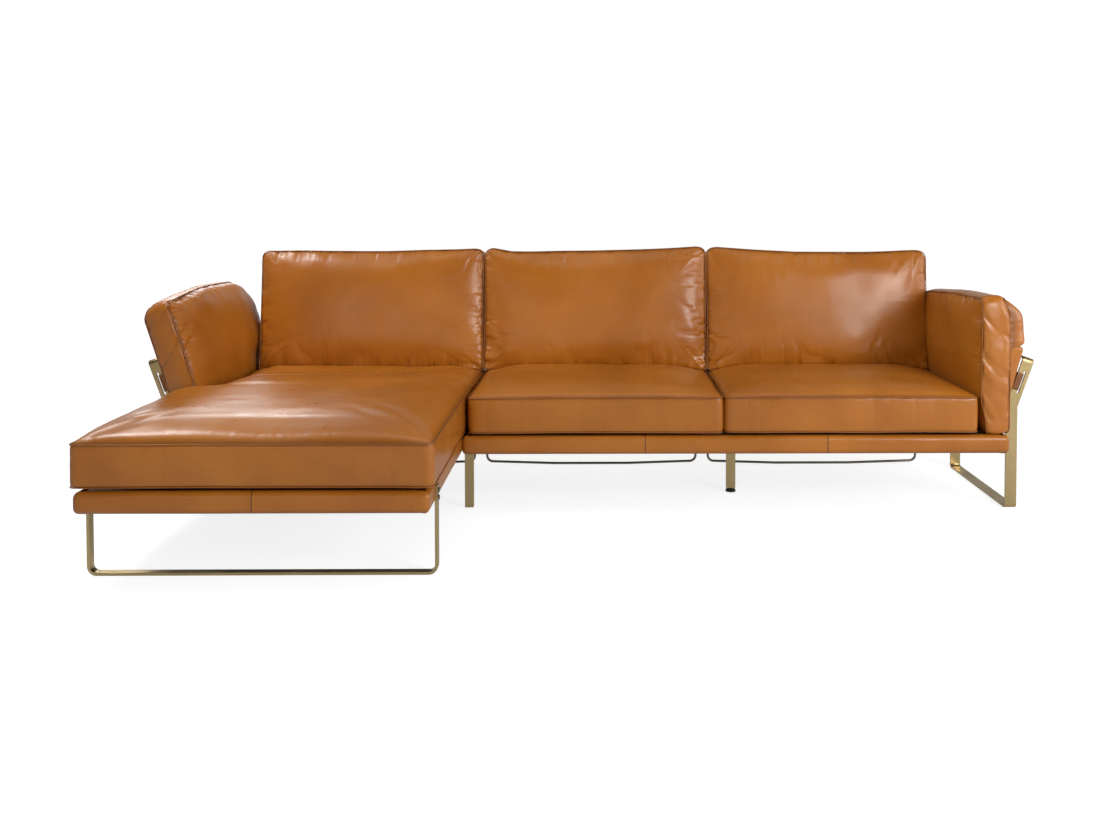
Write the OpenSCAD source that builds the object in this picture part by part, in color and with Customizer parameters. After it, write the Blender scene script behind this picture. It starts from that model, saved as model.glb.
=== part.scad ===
// Corner lounge: a sofa of two seats with a chaise longue at its left end.
// Leather cushions on slim upholstered base frames, flat-bar side frames with
// a folded slotted top, rod loops that carry the backs, and two arms that
// recline on click hinges. Millimetres, Z up, X to the right, Y to the back.
// The origin is the centre of the middle leg's foot.

/* [Seats] */
// Width of one sofa seat cushion
seat_w = 898; // [800:1:1000]
// Gap between neighbouring seat cushions
seat_gap = 4; // [2:0.5:8]
// Height of a seat cushion's boxing between its pipings
boxing_h = 122; // [90:1:160]
// Rise of a seat cushion's crown above its top piping
seat_crown = 31; // [10:1:45]
// Drop of a seat cushion's underside below its bottom piping
seat_belly = 12; // [6:1:20]
// Corner radius of a cushion in plan
cushion_r = 26; // [12:1:50]
// How far a cushion's sides draw in between its corners
side_draw = 5; // [0:0.5:12]
// Depth of the base frame from front to back
base_d = 694; // [600:1:800]
// How far the chaise longue runs out in front of the sofa
chaise_run = 700; // [500:1:900]
// Width of the chaise cushion beside the left arm
chaise_seat_w = 914; // [820:1:1000]
// Overhang of the chaise cushion past its base at each side
chaise_lap = 13.5; // [4:0.5:25]

/* [Backs] */
// Gap between neighbouring back cushions
back_gap = 3.5; // [2:0.5:8]
// Height of a back cushion, measured along its lean
back_h = 513; // [400:1:560]
// Thickness of a back cushion at its piping
back_t = 126; // [90:1:170]
// Rise of a back cushion's front face above its piping
back_crown = 46; // [15:1:70]
// Lean of the back from upright, in degrees
back_lean = 8; // [4:0.5:14]

/* [Arms] */
// Thickness of an arm pad at its piping
arm_t = 90; // [70:1:120]
// Height of an arm pad at its front
arm_h = 469; // [400:1:520]
// Rise of an arm pad from its front to its crest
arm_rise = 30; // [5:1:50]
// Puff of an arm pad's outer face above the side frame
arm_puff = 56; // [15:1:60]
// Puff of an arm pad's inner face
arm_inner_puff = 6; // [2:0.5:7]
// Height of the arm hinge above the floor
hinge_z = 380; // [365:1:395]
// Angle through which an arm reclines, in degrees
arm_recline = 18; // [8:0.5:18]
// Gap between a seat cushion and an upright arm
arm_gap = 24.5; // [20:0.5:40]

/* [Side frames] */
// Width of the flat bar
bar_w = 40; // [30:1:50]
// Thickness of the flat bar
bar_t = 8; // [6:0.5:10]
// Inner radius of the bends in the flat bar
bend_r = 8; // [5:0.5:16]
// Height at which the side frame folds outwards
fold_z = 372; // [340:1:380]
// Lean of the folded part, in degrees
fold_lean = 19.5; // [18.5:0.5:24]
// Length of the folded part along its lean
fold_len = 186; // [150:1:200]
// Distance from the sofa's front to the front upright's face
upright_inset = 52; // [30:1:90]
// Length of the slot in the folded part
slot_len = 84; // [60:1:95]
// Width of the slot
slot_w = 8; // [6:0.5:11]

/* [Legs] */
// Height of the base frame's underside above the floor
base_z = 208; // [150:1:260]
// Height of the upholstered base frame
base_h = 66; // [55:1:90]
// Width of the middle leg
leg_w = 32; // [24:1:40]
// Distance from the sofa's front to the middle leg's centre
leg_setback = 84; // [60:1:140]
// Thickness of the chaise hoop's bar
hoop_t = 9; // [6:0.5:12]
// Depth of the chaise hoop's bar, front to back
hoop_d = 28; // [20:1:40]
// Distance from the chaise's front to its hoop
hoop_setback = 97; // [60:1:160]
// Outer radius of the chaise hoop's lower corners
hoop_r = 28; // [18:1:45]
// Diameter of the back loops' rod
rod_d = 10; // [8:0.5:14]
// Outer corner radius of a back loop
loop_r = 30; // [20:1:50]

/* [Hidden] */
$fn = 48;

// Construction sizes that the upholstery hides, and the fits
clear = 0.3;
over = 1;
module_gap = 1;
seat_start = 21.5;
frame_play = 1.5;
plate_t = 6;
plate_h = 40;
nose_r = 18;
foam_t = 10;
lip_t = 8;
rail_w = 40;
deck_t = 4;
webbing_t = 2;
webbing_w = 50;
webbing_pitch = 96;
webbing_hold = 20;
dust_t = 1;
cross_w = 60;
bolt_d = 8;
bolt_head_d = 14;
bolt_head_h = 4;
bolt_inset = 60;
flange_t = 4;
flange_w = 70;
leg_t = 10;
leg_corner_r = 4;
centre_leg_w = 34;
centre_leg_t = 20;
centre_setback = 285;
glide_h = 14;
glide_d = 38;
gusset_t = 4;
gusset_w = 64;
gusset_h = 72;
gusset_foot = 40;
strap_t = 2.5;
strap_len = 62;
slot_setback = 17;
slot_start = 52;
sling_t = 5;
sling_wall = 3;
loop_spread = 16;
loop_shift = 16;
weld = 0.1;
loop_top = 762;
loop_bow = 8;
kink_z = 300;
clip_w = 22;
clip_t = 3;
clip_ear = 16;
back_belly = 7;
back_count = 3;
back_inset = 8;
loop_inset = 11;
back_bottom = 396;
stand_reach = 14;
stand_drop = 1.5;
sling_gap = 4;
crease_play = 4;
arm_front_inset = 8;
arm_lift = 2;
arm_heel = 655;
arm_heel_rise = 114;
arm_waist = 690;
arm_tail = 782;
arm_tail_z = 640;
arm_corner_r = 30;
arm_top_r = 26;
arm_tail_r = 105;
arm_waist_r = 52;
arm_crest_r = 52;
arm_end_puff = 7;
puff_z = 562;
board_t = 18;
board_front = 70;
board_back = 640;
board_bottom = 412;
board_top = 668;
hinge_front = 130;
hinge_back = 560;
hinge_w = 16;
hinge_t = 5;
drum_d = 30;
pin_d = 10;
pin_head_d = 16;
pin_head_h = 3;
pin_play = 0.05;
hinge_leg_len = 78;
screw_d = 4;
screw_head_d = 9;
screw_head_h = 2.5;
flange_len = 34;
pocket_len = 40;
half_turn = 180;
quarter_turn = 90;

// Places worked out from the sizes above
front_y = -leg_setback;
rear_y = front_y + base_d;
chaise_y = front_y - chaise_run;
top_z = base_z + base_h;
sofa_x0 = -leg_w / 2;
seat_x0 = sofa_x0 + seat_start;
seats_x1 = seat_x0 + 2 * seat_w + seat_gap;
arm_bay = arm_gap + arm_t + frame_play;
side_x1 = seats_x1 + arm_bay;
sofa_x1 = side_x1 - plate_t;
chaise_x1 = sofa_x0 - module_gap;
chaise_seat_x1 = chaise_x1 + chaise_lap;
chaise_seat_x0 = chaise_seat_x1 - chaise_seat_w;
side_x0 = chaise_seat_x0 - arm_bay;
chaise_x0 = side_x0 + plate_t;
back_w = (seats_x1 - chaise_seat_x0) / back_count - back_gap;
backs_x0 = chaise_seat_x0 + back_inset;
loop_w = back_w - 2 * loop_inset;
wood_z0 = base_z + lip_t;
deck_z = top_z - deck_t;
wood_z1 = deck_z - webbing_t;
piping_z = top_z + clear + seat_belly;
upright_y0 = front_y + upright_inset;
upright_y1 = rear_y - upright_inset;
loop_y = rear_y + rod_d / 2 + clear;
sling_y = loop_y - rod_d / 2 - sling_wall;
arm_mid = frame_play + arm_t / 2;
right_pivot_x = side_x1 - arm_mid;
// The pad's crease lies just above the folded bar, in the pad's own upright frame
bar_end = [side_x1 + fold_len * sin(fold_lean) - right_pivot_x, fold_z + fold_len * cos(fold_lean) - hinge_z];
crease_z = hinge_z + bar_end.y * cos(arm_recline) + bar_end.x * sin(arm_recline) + crease_play;
left_pivot_x = side_x0 + arm_mid;
arm_z0 = top_z + arm_lift;
centre_x = seat_x0 + seat_w + seat_gap / 2 + cross_w;
hinge_ys = [front_y + hinge_front, front_y + hinge_back];

// Points along a rounded polygon: an arc at each corner, and points between
// that are drawn in towards the inside, counter-clockwise
function unit(v) = v / norm(v);
function bend_point(a, c, b, t) = (1 - t) * (1 - t) * a + 2 * t * (1 - t) * c + t * t * b;
function corner_points(p, r, n, steps) = [
    let (c = p[n], a = p[(n + len(p) - 1) % len(p)], b = p[(n + 1) % len(p)])
    for (k = [0 : steps]) bend_point(c + r[n] * unit(a - c), c, c + r[n] * unit(b - c), k / steps)];
function side_points(p, r, n, count, draw) = [
    let (c = p[n], b = p[(n + 1) % len(p)], u = unit(b - c), inward = [-u.y, u.x],
        from = c + r[n] * u, to = b - r[(n + 1) % len(p)] * u)
    for (k = [1 : count]) let (t = k / (count + 1)) from + t * (to - from) + 4 * draw * t * (1 - t) * inward];
function rounded_outline(p, r, steps, counts, draw) = [for (n = [0 : len(p) - 1])
    each concat(corner_points(p, r, n, steps), side_points(p, r, n, counts[n], draw))];

// A closed skin through rings of points, with a pole at each end
function skin_faces(rings, count) = concat(
    [for (i = [0 : count - 1]) [0, 1 + i, 1 + (i + 1) % count]],
    [for (r = [0 : rings - 2], i = [0 : count - 1])
        let (a = 1 + r * count + i, b = 1 + r * count + (i + 1) % count)
        each [[a, a + count, b], [b, a + count, b + count]]],
    [for (i = [0 : count - 1]) let (a = 1 + (rings - 1) * count)
        [1 + rings * count, a + (i + 1) % count, a + i]]);
// A crown rises both ways across a panel, and comes to nothing at its edge
crown_power = 3;
edge_power = 9;
function one_way(t) = 1 - pow(min(1, abs(t)), crown_power);
function crown_rise(q, pole, span, s) =
    (1 - pow(s, edge_power)) * one_way((q.x - pole.x) / span.x) * one_way((q.y - pole.y) / span.y);

// Shares of the way from a cushion's pole to its edge, and of its boxing
crown_shares = [0.96, 0.86, 0.7, 0.45];
belly_share = 0.86;
boxing_shares = [0.3, 0.7];
boxing_puff_share = 0.003;

// A boxed cushion: flat belly, boxing between two pipings, crowned top;
// a ring is the share of the way to the edge, its height and its crown
module boxed_cushion(outline, pole, span, z0, box_h, belly, crown) {
    rings = concat(
        [[belly_share, z0 - belly, 0], [1, z0, 0]],
        [for (s = boxing_shares) [1 + boxing_puff_share, z0 + s * box_h, 0]],
        [[1, z0 + box_h, 0]],
        [for (s = crown_shares) [s, z0 + box_h, crown]]);
    ring_points = [for (ring = rings, p = outline) let (q = pole + ring[0] * (p - pole))
        [q.x, q.y, ring[1] + (ring[2] > 0 ? ring[2] * crown_rise(q, pole, span, ring[0]) : 0)]];
    polyhedron(concat([[pole.x, pole.y, z0 - belly]], ring_points, [[pole.x, pole.y, z0 + box_h + crown]]),
        skin_faces(len(rings), len(outline)));
}

module rect_cushion(w, d, box_h, belly, crown, side_counts) {
    outline = rounded_outline([[0, 0], [w, 0], [w, d], [0, d]], [for (n = [0 : 3]) cushion_r], 3,
        side_counts, side_draw);
    boxed_cushion(outline, [w / 2, d / 2], [w / 2, d / 2], 0, box_h, belly, crown);
}

// The plane that the back cushions rest on, at a height
function back_face_y(z) = sling_y - clear + (z - kink_z) * tan(back_lean);

// The space in which the back cushions stand, taken out of the seats below
module back_stand() translate([side_x0, back_face_y(back_bottom), back_bottom]) rotate([-back_lean, 0, 0])
    translate([0, -back_belly - back_t - stand_reach, -stand_drop]) cube([side_x1 - side_x0, base_d, back_h]);

module chaise_seat_cushion() color("peru") {
    x0 = chaise_x0 - chaise_lap;
    y1 = sling_y - sling_gap;
    notch_y = front_y + arm_front_inset - arm_gap;
    path = [[x0, chaise_y], [chaise_seat_x1, chaise_y], [chaise_seat_x1, y1],
        [chaise_seat_x0, y1], [chaise_seat_x0, notch_y], [x0, notch_y]];
    outline = rounded_outline(path, [for (n = [0 : 5]) cushion_r], 3, [8, 9, 7, 5, 0, 5], side_draw);
    pole = [(chaise_seat_x0 + chaise_seat_x1) / 2, notch_y - arm_gap];
    span = [pole.x - x0, y1 - pole.y];
    difference() {
        boxed_cushion(outline, pole, span, piping_z, boxing_h, seat_belly, seat_crown);
        back_stand();
    }
}

module sofa_seat(n) difference() {
    translate([seat_x0 + n * (seat_w + seat_gap), front_y, piping_z])
        rect_cushion(seat_w, sling_y - sling_gap - front_y, boxing_h, seat_belly, seat_crown, [8, 6, 8, 6]);
    back_stand();
}
module middle_seat_cushion() color("peru") sofa_seat(0);
module right_seat_cushion() color("peru") sofa_seat(1);

// A back cushion, lying on its back face before it is stood up
module back_cushion(n) {
    x0 = backs_x0 + (back_w + back_gap) * (n + 1);
    translate([x0, back_face_y(back_bottom), back_bottom + clear])
        rotate([quarter_turn - back_lean, 0, 0])
            translate([0, 0, back_belly])
                rect_cushion(back_w, back_h, back_t, back_belly, back_crown, [8, 5, 8, 5]);
}
module chaise_back_cushion() color("peru") back_cushion(-1);
module middle_back_cushion() color("peru") back_cushion(0);
module right_back_cushion() color("peru") back_cushion(1);

// A bar's section with round edges, made of true circles
module round_rect(w, h, r) {
    for (x = [r, w - r], y = [r, h - r]) translate([x, y]) circle(r);
    translate([r, 0]) square([w - 2 * r, h]);
    translate([0, r]) square([w, h - 2 * r]);
}

// The rounded body of an upholstered base, before its inside is taken out
module base_body(x0, y0, w, d) intersection() {
    translate([x0, y0 + d, base_z]) rotate([quarter_turn, 0, 0]) linear_extrude(d)
        round_rect(w, base_h, nose_r);
    translate([x0, y0, base_z]) rotate([quarter_turn, 0, quarter_turn]) linear_extrude(w)
        round_rect(d, base_h, nose_r);
}

// The hollow that the boards, the webbing, the felt and the dust cover fill
module base_hollow(x0, y0, w, d) {
    translate([x0 + foam_t, y0 + foam_t, wood_z0]) cube([w - 2 * foam_t, d - 2 * foam_t, wood_z1 - wood_z0]);
    lap = foam_t + rail_w / 2;
    translate([x0 + lap, y0 + lap, base_z - over]) cube([w - 2 * lap, d - 2 * lap, base_h + 2 * over]);
}

// One side of a base's leather cover: 0 front, 1 right, 2 rear, 3 left
module cover_side(x0, y0, w, d, side) {
    m = min(w, d) / 2;
    a = [x0, y0];
    b = [x0 + w, y0];
    c = [x0 + w, y0 + d];
    e = [x0, y0 + d];
    wedges = [[a, b, b + [-m, m], a + [m, m]], [b, c, c + [-m, -m], b + [-m, m]],
        [c, e, e + [m, -m], c + [-m, -m]], [e, a, a + [m, m], e + [m, -m]]];
    difference() {
        intersection() {
            base_body(x0, y0, w, d);
            translate([0, 0, base_z - over]) linear_extrude(base_h + 2 * over) polygon(wedges[side]);
        }
        base_hollow(x0, y0, w, d);
        fastener_holes();
        hinge_slots();
        leg_seats();
    }
}
module chaise_cover(side) color("peru")
    cover_side(chaise_x0, chaise_y, chaise_x1 - chaise_x0, rear_y - chaise_y, side);
module sofa_cover(side) color("peru") cover_side(sofa_x0, front_y, sofa_x1 - sofa_x0, base_d, side);
module chaise_front_cover() chaise_cover(0);
module chaise_right_cover() chaise_cover(1);
module chaise_rear_cover() chaise_cover(2);
module chaise_left_cover() chaise_cover(3);
module sofa_front_cover() sofa_cover(0);
module sofa_right_cover() sofa_cover(1);
module sofa_rear_cover() sofa_cover(2);
module sofa_left_cover() sofa_cover(3);

// The boards of a base: a ring and its cross members, front to back
module base_boards(x0, y0, w, d, cross_xs, cross_ys) color("burlywood") difference() {
    h = wood_z1 - wood_z0;
    translate([x0 + foam_t, y0 + foam_t, wood_z0]) cube([w - 2 * foam_t, d - 2 * foam_t, h]);
    inset = foam_t + rail_w;
    difference() {
        translate([x0 + inset, y0 + inset, wood_z0 - over])
            cube([w - 2 * inset, d - 2 * inset, h + 2 * over]);
        translate([0, 0, wood_z0 - 2 * over]) {
            for (x = cross_xs) translate([x - cross_w / 2, y0, 0]) cube([cross_w, d, h + 4 * over]);
            for (y = cross_ys) translate([x0, y - cross_w / 2, 0]) cube([w, cross_w, h + 4 * over]);
        }
    }
    fastener_holes();
    hinge_slots();
}
module chaise_frame() base_boards(chaise_x0, chaise_y, chaise_x1 - chaise_x0, rear_y - chaise_y,
    [], [chaise_y + (rear_y - chaise_y) / 3, chaise_y + (rear_y - chaise_y) * 2 / 3]);
module sofa_frame() base_boards(sofa_x0, front_y, sofa_x1 - sofa_x0, base_d, [centre_x], []);

// Elastic webbing stapled to the boards' top edges, as one woven net
module webbing(x0, y0, w, d) color("dimgray") difference() {
    lap = foam_t + rail_w - webbing_hold;
    nx = floor((w - 2 * lap - webbing_w) / webbing_pitch);
    ny = floor((d - 2 * lap - webbing_w) / webbing_pitch);
    translate([x0, y0, wood_z1]) {
        for (i = [0 : nx]) translate([w / 2 + (i - nx / 2) * webbing_pitch - webbing_w / 2, lap, 0])
            cube([webbing_w, d - 2 * lap, webbing_t]);
        for (i = [0 : ny]) translate([lap, d / 2 + (i - ny / 2) * webbing_pitch - webbing_w / 2, 0])
            cube([w - 2 * lap, webbing_w, webbing_t]);
    }
    hinge_slots();
}
module chaise_webbing() webbing(chaise_x0, chaise_y, chaise_x1 - chaise_x0, rear_y - chaise_y);
module sofa_webbing() webbing(sofa_x0, front_y, sofa_x1 - sofa_x0, base_d);

module felt(x0, y0, w, d) color("gainsboro") difference() {
    lap = foam_t + rail_w / 2;
    translate([x0 + lap, y0 + lap, deck_z]) cube([w - 2 * lap, d - 2 * lap, deck_t]);
    hinge_slots();
}
module chaise_deck_felt() felt(chaise_x0, chaise_y, chaise_x1 - chaise_x0, rear_y - chaise_y);
module sofa_deck_felt() felt(sofa_x0, front_y, sofa_x1 - sofa_x0, base_d);

module dust_cover(x0, y0, w, d) color("black") difference() {
    lap = foam_t + rail_w / 2;
    translate([x0 + lap, y0 + lap, wood_z0 - dust_t]) cube([w - 2 * lap, d - 2 * lap, dust_t]);
    leg_seats();
}
module chaise_dust_cover() dust_cover(chaise_x0, chaise_y, chaise_x1 - chaise_x0, rear_y - chaise_y);
module sofa_dust_cover() dust_cover(sofa_x0, front_y, sofa_x1 - sofa_x0, base_d);

// Half of a loop of flat bar, laid on its side, thinned by the play at each
// face: its closed end lies at -length
module bar_half(length, d, play) difference() {
    translate([-length, play]) round_rect(2 * length, d - 2 * play, bend_r + bar_t);
    translate([bar_t - length, bar_t - play]) round_rect(2 * length, d - 2 * (bar_t - play), bend_r);
    translate([0, -over]) square([length + over, d + 2 * over]);
}

// A closed loop of flat bar in the YZ plane, standing on its lower run;
// the part above the fold leans outwards, towards +X
module side_frame() {
    d = upright_y1 - upright_y0;
    difference() {
        union() {
            translate([bar_w, 0, fold_z]) rotate([0, -quarter_turn, 0]) linear_extrude(bar_w)
                bar_half(fold_z, d, 0);
            translate([0, 0, fold_z]) rotate([0, quarter_turn + fold_lean, 0]) linear_extrude(bar_w)
                bar_half(fold_len, d, weld / 2);
        }
        translate([0, 0, fold_z]) rotate([0, fold_lean, 0])
            translate([bar_w - slot_setback - slot_w / 2, d + over, slot_start])
                rotate([quarter_turn, 0, 0]) linear_extrude(d + 2 * over) {
                    for (z = [slot_w / 2, slot_len - slot_w / 2])
                        translate([slot_w / 2, z]) circle(slot_w / 2);
                    translate([0, slot_w / 2]) square([slot_w, slot_len - slot_w]);
                }
    }
}

// A leather band round the bar's inner land, through the slot
module bar_straps() {
    d = upright_y1 - upright_y0;
    land = bar_w - slot_setback - slot_w / 2;
    translate([0, 0, fold_z]) rotate([0, fold_lean, 0]) for (y = [0, d - bar_t])
        translate([-strap_t - clear, y - strap_t - clear, slot_start + (slot_len - strap_len) / 2])
            difference() {
                cube([land + 2 * strap_t + 2 * clear, bar_t + 2 * strap_t + 2 * clear, strap_len]);
                translate([strap_t, strap_t, -over])
                    cube([land + 2 * clear, bar_t + 2 * clear, strap_len + 2 * over]);
            }
}
module at_right_side() translate([side_x1, upright_y0, 0]) children();
module at_left_side() translate([side_x0, upright_y0, 0]) mirror([1, 0, 0]) children();
module right_side_frame() color("darkkhaki") at_right_side() side_frame();
module left_side_frame() color("darkkhaki") at_left_side() side_frame();
module right_bar_straps() color("saddlebrown") at_right_side() bar_straps();
module left_bar_straps() color("saddlebrown") at_left_side() bar_straps();

// The steel plate that joins a side frame to the base, and its bolts
module side_plate() {
    d = upright_y1 - upright_y0;
    difference() {
        translate([-plate_t, 0, base_z + (base_h - plate_h) / 2]) cube([plate_t, d, plate_h]);
        side_bolt_places() cylinder(d = bolt_d + clear, h = 2 * plate_t, center = true);
    }
}
side_bolt_ys = let (d = upright_y1 - upright_y0) [bolt_inset, d / 2, d - bolt_inset];
module side_bolt_places() for (y = side_bolt_ys)
    translate([0, y, base_z + base_h / 2]) rotate([0, quarter_turn, 0]) children();
module side_bolts() side_bolt_places() bolt(plate_t + foam_t + rail_w / 2);
// A bolt with its head above the plane and its shank below
module bolt(length) {
    cylinder(d = bolt_head_d, h = bolt_head_h);
    translate([0, 0, -length]) cylinder(d = bolt_d, h = length + over);
}
module right_side_plate() color("dimgray") at_right_side() side_plate();
module left_side_plate() color("dimgray") at_left_side() side_plate();
module right_side_bolts() color("silver") at_right_side() side_bolts();
module left_side_bolts() color("silver") at_left_side() side_bolts();

// The chaise's front hoop and the bolts that hold it
hoop_top = base_z + base_h - nose_r / 2;
module chaise_hoop() color("darkkhaki") {
    w = chaise_x1 - chaise_x0 + 2 * hoop_t;
    translate([chaise_x0 - hoop_t, chaise_y + hoop_setback, 0]) difference() {
        union() {
            translate([hoop_r, 0, 0]) cube([w - 2 * hoop_r, hoop_d, hoop_t]);
            for (x = [0, w - hoop_t]) translate([x, 0, hoop_r]) cube([hoop_t, hoop_d, hoop_top - hoop_r]);
            for (side = [0, 1]) translate([side * w, 0, 0]) mirror([side, 0, 0])
                translate([hoop_r, hoop_d, hoop_r]) rotate([quarter_turn, 0, 0]) rotate([0, 0, half_turn])
                    rotate_extrude(angle = quarter_turn)
                        translate([hoop_r - hoop_t, 0]) square([hoop_t, hoop_d]);
        }
        for (z = hoop_bolt_zs) translate([w / 2, hoop_d / 2, z]) rotate([0, quarter_turn, 0])
            cylinder(d = bolt_d + clear, h = w + 2 * over, center = true);
    }
}
hoop_bolt_shares = [0.29, 0.63];
hoop_bolt_zs = [for (share = hoop_bolt_shares) base_z + base_h * share];
module hoop_bolt_places() for (side = [0, 1], z = hoop_bolt_zs)
    translate([side == 0 ? chaise_x0 - hoop_t : chaise_x1 + hoop_t, chaise_y + hoop_setback + hoop_d / 2, z])
        mirror([1 - side, 0, 0]) rotate([0, quarter_turn, 0]) children();
module hoop_bolts() color("dimgray") hoop_bolt_places() bolt(hoop_t + foam_t + rail_w / 2);

// Bolts that join the two bases, each with its nut
module_bolt_ys = [front_y + bolt_inset * 2, rear_y - bolt_inset * 2];
module module_bolts() color("silver") for (y = module_bolt_ys)
    translate([chaise_x1 + module_gap / 2, y, base_z + base_h / 2]) rotate([0, quarter_turn, 0]) {
        grip = foam_t + rail_w + module_gap / 2;
        cylinder(d = bolt_d, h = 2 * grip + 2 * bolt_head_h, center = true);
        for (side = [0, 1]) mirror([0, 0, side]) translate([0, 0, grip])
            cylinder(d = bolt_head_d, h = bolt_head_h);
    }

// Every hole that a bolt makes in the boards and the covers
module fastener_holes() {
    bore = bolt_d + clear;
    side_h = 2 * (plate_t + foam_t + rail_w / 2 + clear);
    at_right_side() side_bolt_places() cylinder(d = bore, h = side_h, center = true);
    at_left_side() side_bolt_places() cylinder(d = bore, h = side_h, center = true);
    hoop_bolt_places() cylinder(d = bore, h = 2 * (hoop_t + foam_t + rail_w / 2 + clear), center = true);
    for (y = module_bolt_ys) translate([chaise_x1, y, base_z + base_h / 2]) rotate([0, quarter_turn, 0])
        cylinder(d = bore, h = 4 * (foam_t + rail_w), center = true);
}

// Seats for the legs' flanges in the base's lower lip
module leg_seats() {
    translate([-flange_w / 2, -flange_w / 2, base_z - over])
        cube([flange_w + clear, flange_w, wood_z0 - base_z + over]);
    translate([centre_x - gusset_w / 2 - clear, front_y + centre_setback - gusset_foot,
        wood_z0 - dust_t - over])
        cube([gusset_w + 2 * clear, 2 * gusset_foot, 2 * over]);
}

module middle_leg() color("darkkhaki")
    translate([-leg_w / 2, leg_t / 2, 0]) rotate([quarter_turn, 0, 0]) linear_extrude(leg_t) {
        for (x = [leg_corner_r, leg_w - leg_corner_r]) translate([x, leg_corner_r]) circle(leg_corner_r);
        translate([leg_corner_r, 0]) square([leg_w - 2 * leg_corner_r, leg_corner_r]);
        translate([0, leg_corner_r]) square([leg_w, wood_z0 - flange_t - leg_corner_r]);
    }
module middle_leg_flange() color("dimgray") translate([-leg_w / 2, -flange_w / 2, wood_z0 - flange_t])
    cube([(flange_w + leg_w) / 2, flange_w, flange_t]);

// The centre leg: a rectangular steel tube on a round glide, with its gusset
module centre_leg() color("darkkhaki") translate([centre_x, front_y + centre_setback, 0]) difference() {
    translate([-centre_leg_w / 2, -centre_leg_t / 2, glide_h])
        cube([centre_leg_w, centre_leg_t, wood_z0 - gusset_t - glide_h]);
    translate([0, 0, glide_h - over]) cylinder(d = bolt_d + clear, h = glide_h + over);
}
module centre_leg_glide() color("black") translate([centre_x, front_y + centre_setback, 0]) {
    cylinder(d = glide_d, h = glide_h / 2);
    translate([0, 0, glide_h / 2]) cylinder(d1 = glide_d, d2 = centre_leg_t, h = glide_h / 2);
    cylinder(d = bolt_d, h = 2 * glide_h - over);
}
module centre_leg_bracket() color("dimgray") translate([centre_x, front_y + centre_setback, 0]) {
    translate([-gusset_w / 2, -gusset_foot + clear, wood_z0 - gusset_t])
        cube([gusset_w, 2 * (gusset_foot - clear), gusset_t]);
    translate([0, centre_leg_t / 2 + gusset_t, wood_z0 - gusset_t]) rotate([quarter_turn, 0, 0])
        linear_extrude(gusset_t) polygon([[-gusset_w / 2, 0], [gusset_w / 2, 0],
            [centre_leg_w / 2, -gusset_h], [-centre_leg_w / 2, -gusset_h]]);
}

// A rod loop: it stands behind the base, bowed down at the foot, and leans
// back above the kink to carry a back cushion
loop_xs = [for (n = [-1 : 1])
    backs_x0 + back_w / 2 + (back_w + back_gap) * (n + 1) - loop_shift + loop_spread * n];
foot_flat_share = 0.35;
module rod(a, b) {
    v = b - a;
    translate(a) rotate([0, acos(v.z / norm(v)), atan2(v.y, v.x)]) cylinder(d = rod_d, h = norm(v));
    for (end = [a, b]) translate(end) sphere(d = rod_d + weld);
}
module rod_elbow(c) rotate([quarter_turn, 0, 0]) rotate_extrude(angle = quarter_turn)
    translate([c, 0]) circle(d = rod_d);
module back_loop(n) color("dimgray") translate([loop_xs[n + 1], loop_y, 0]) {
    half = (loop_w - rod_d) / 2;
    c = loop_r - rod_d / 2;
    low = (rod_d + weld) / 2;
    flat = half * foot_flat_share;
    rise = (loop_top - kink_z) / cos(back_lean) - c;
    rod([-flat, 0, low], [flat, 0, low]);
    for (side = [-1, 1]) {
        rod([side * flat, 0, low], [side * (half - c), 0, low + loop_bow]);
        translate([side * (half - c), 0, low + loop_bow + c]) mirror([side < 0 ? 1 : 0, 0, 0])
            rotate([0, quarter_turn, 0]) rod_elbow(c);
        rod([side * half, 0, low + loop_bow + c], [side * half, 0, kink_z]);
        translate([0, 0, kink_z]) rotate([-back_lean, 0, 0]) {
            rod([side * half, 0, 0], [side * half, 0, rise]);
            translate([side * (half - c), 0, rise]) mirror([side < 0 ? 1 : 0, 0, 0]) rod_elbow(c);
        }
    }
    translate([0, 0, kink_z]) rotate([-back_lean, 0, 0])
        rod([c - half, 0, rise + c], [half - c, 0, rise + c]);
}
module chaise_back_loop() back_loop(-1);
module middle_back_loop() back_loop(0);
module right_back_loop() back_loop(1);

// A leather sling stretched between a loop's rods, with a sleeve round each
module back_sling(n) color("saddlebrown")
    translate([loop_xs[n + 1], loop_y, kink_z]) rotate([-back_lean, 0, 0]) {
    half = (loop_w - rod_d) / 2;
    rise = (loop_top - kink_z) / cos(back_lean) - loop_r;
    start = rod_d;
    difference() {
        union() {
            translate([-half, -rod_d / 2 - sling_wall, start]) cube([2 * half, sling_t, rise - 2 * start]);
            for (x = [-half, half]) translate([x, 0, start])
                cylinder(d = rod_d + 2 * sling_wall, h = rise - 2 * start);
        }
        for (x = [-half, half]) translate([x, 0, 0]) cylinder(d = rod_d + clear, h = rise);
    }
}
module chaise_back_sling() back_sling(-1);
module middle_back_sling() back_sling(0);
module right_back_sling() back_sling(1);

// Saddle clips that hold the loops to the rear of the bases
module loop_clips() color("dimgray") for (x = loop_xs, side = [-1, 1])
    translate([x + side * (loop_w - rod_d) / 2, loop_y, base_z + (base_h - clip_w) / 2]) difference() {
        union() {
            cylinder(d = rod_d + 2 * clip_t, h = clip_w);
            translate([-rod_d / 2 - clip_ear, -rod_d / 2 - clear, 0])
                cube([rod_d + 2 * clip_ear, clip_t, clip_w]);
        }
        translate([0, 0, -over]) cylinder(d = rod_d + clear, h = clip_w + 2 * over);
        translate([-rod_d - clip_t, -2 * rod_d - rod_d / 2 - clear, -over])
            cube([2 * (rod_d + clip_t), 2 * rod_d, clip_w + 2 * over]);
    }

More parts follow.
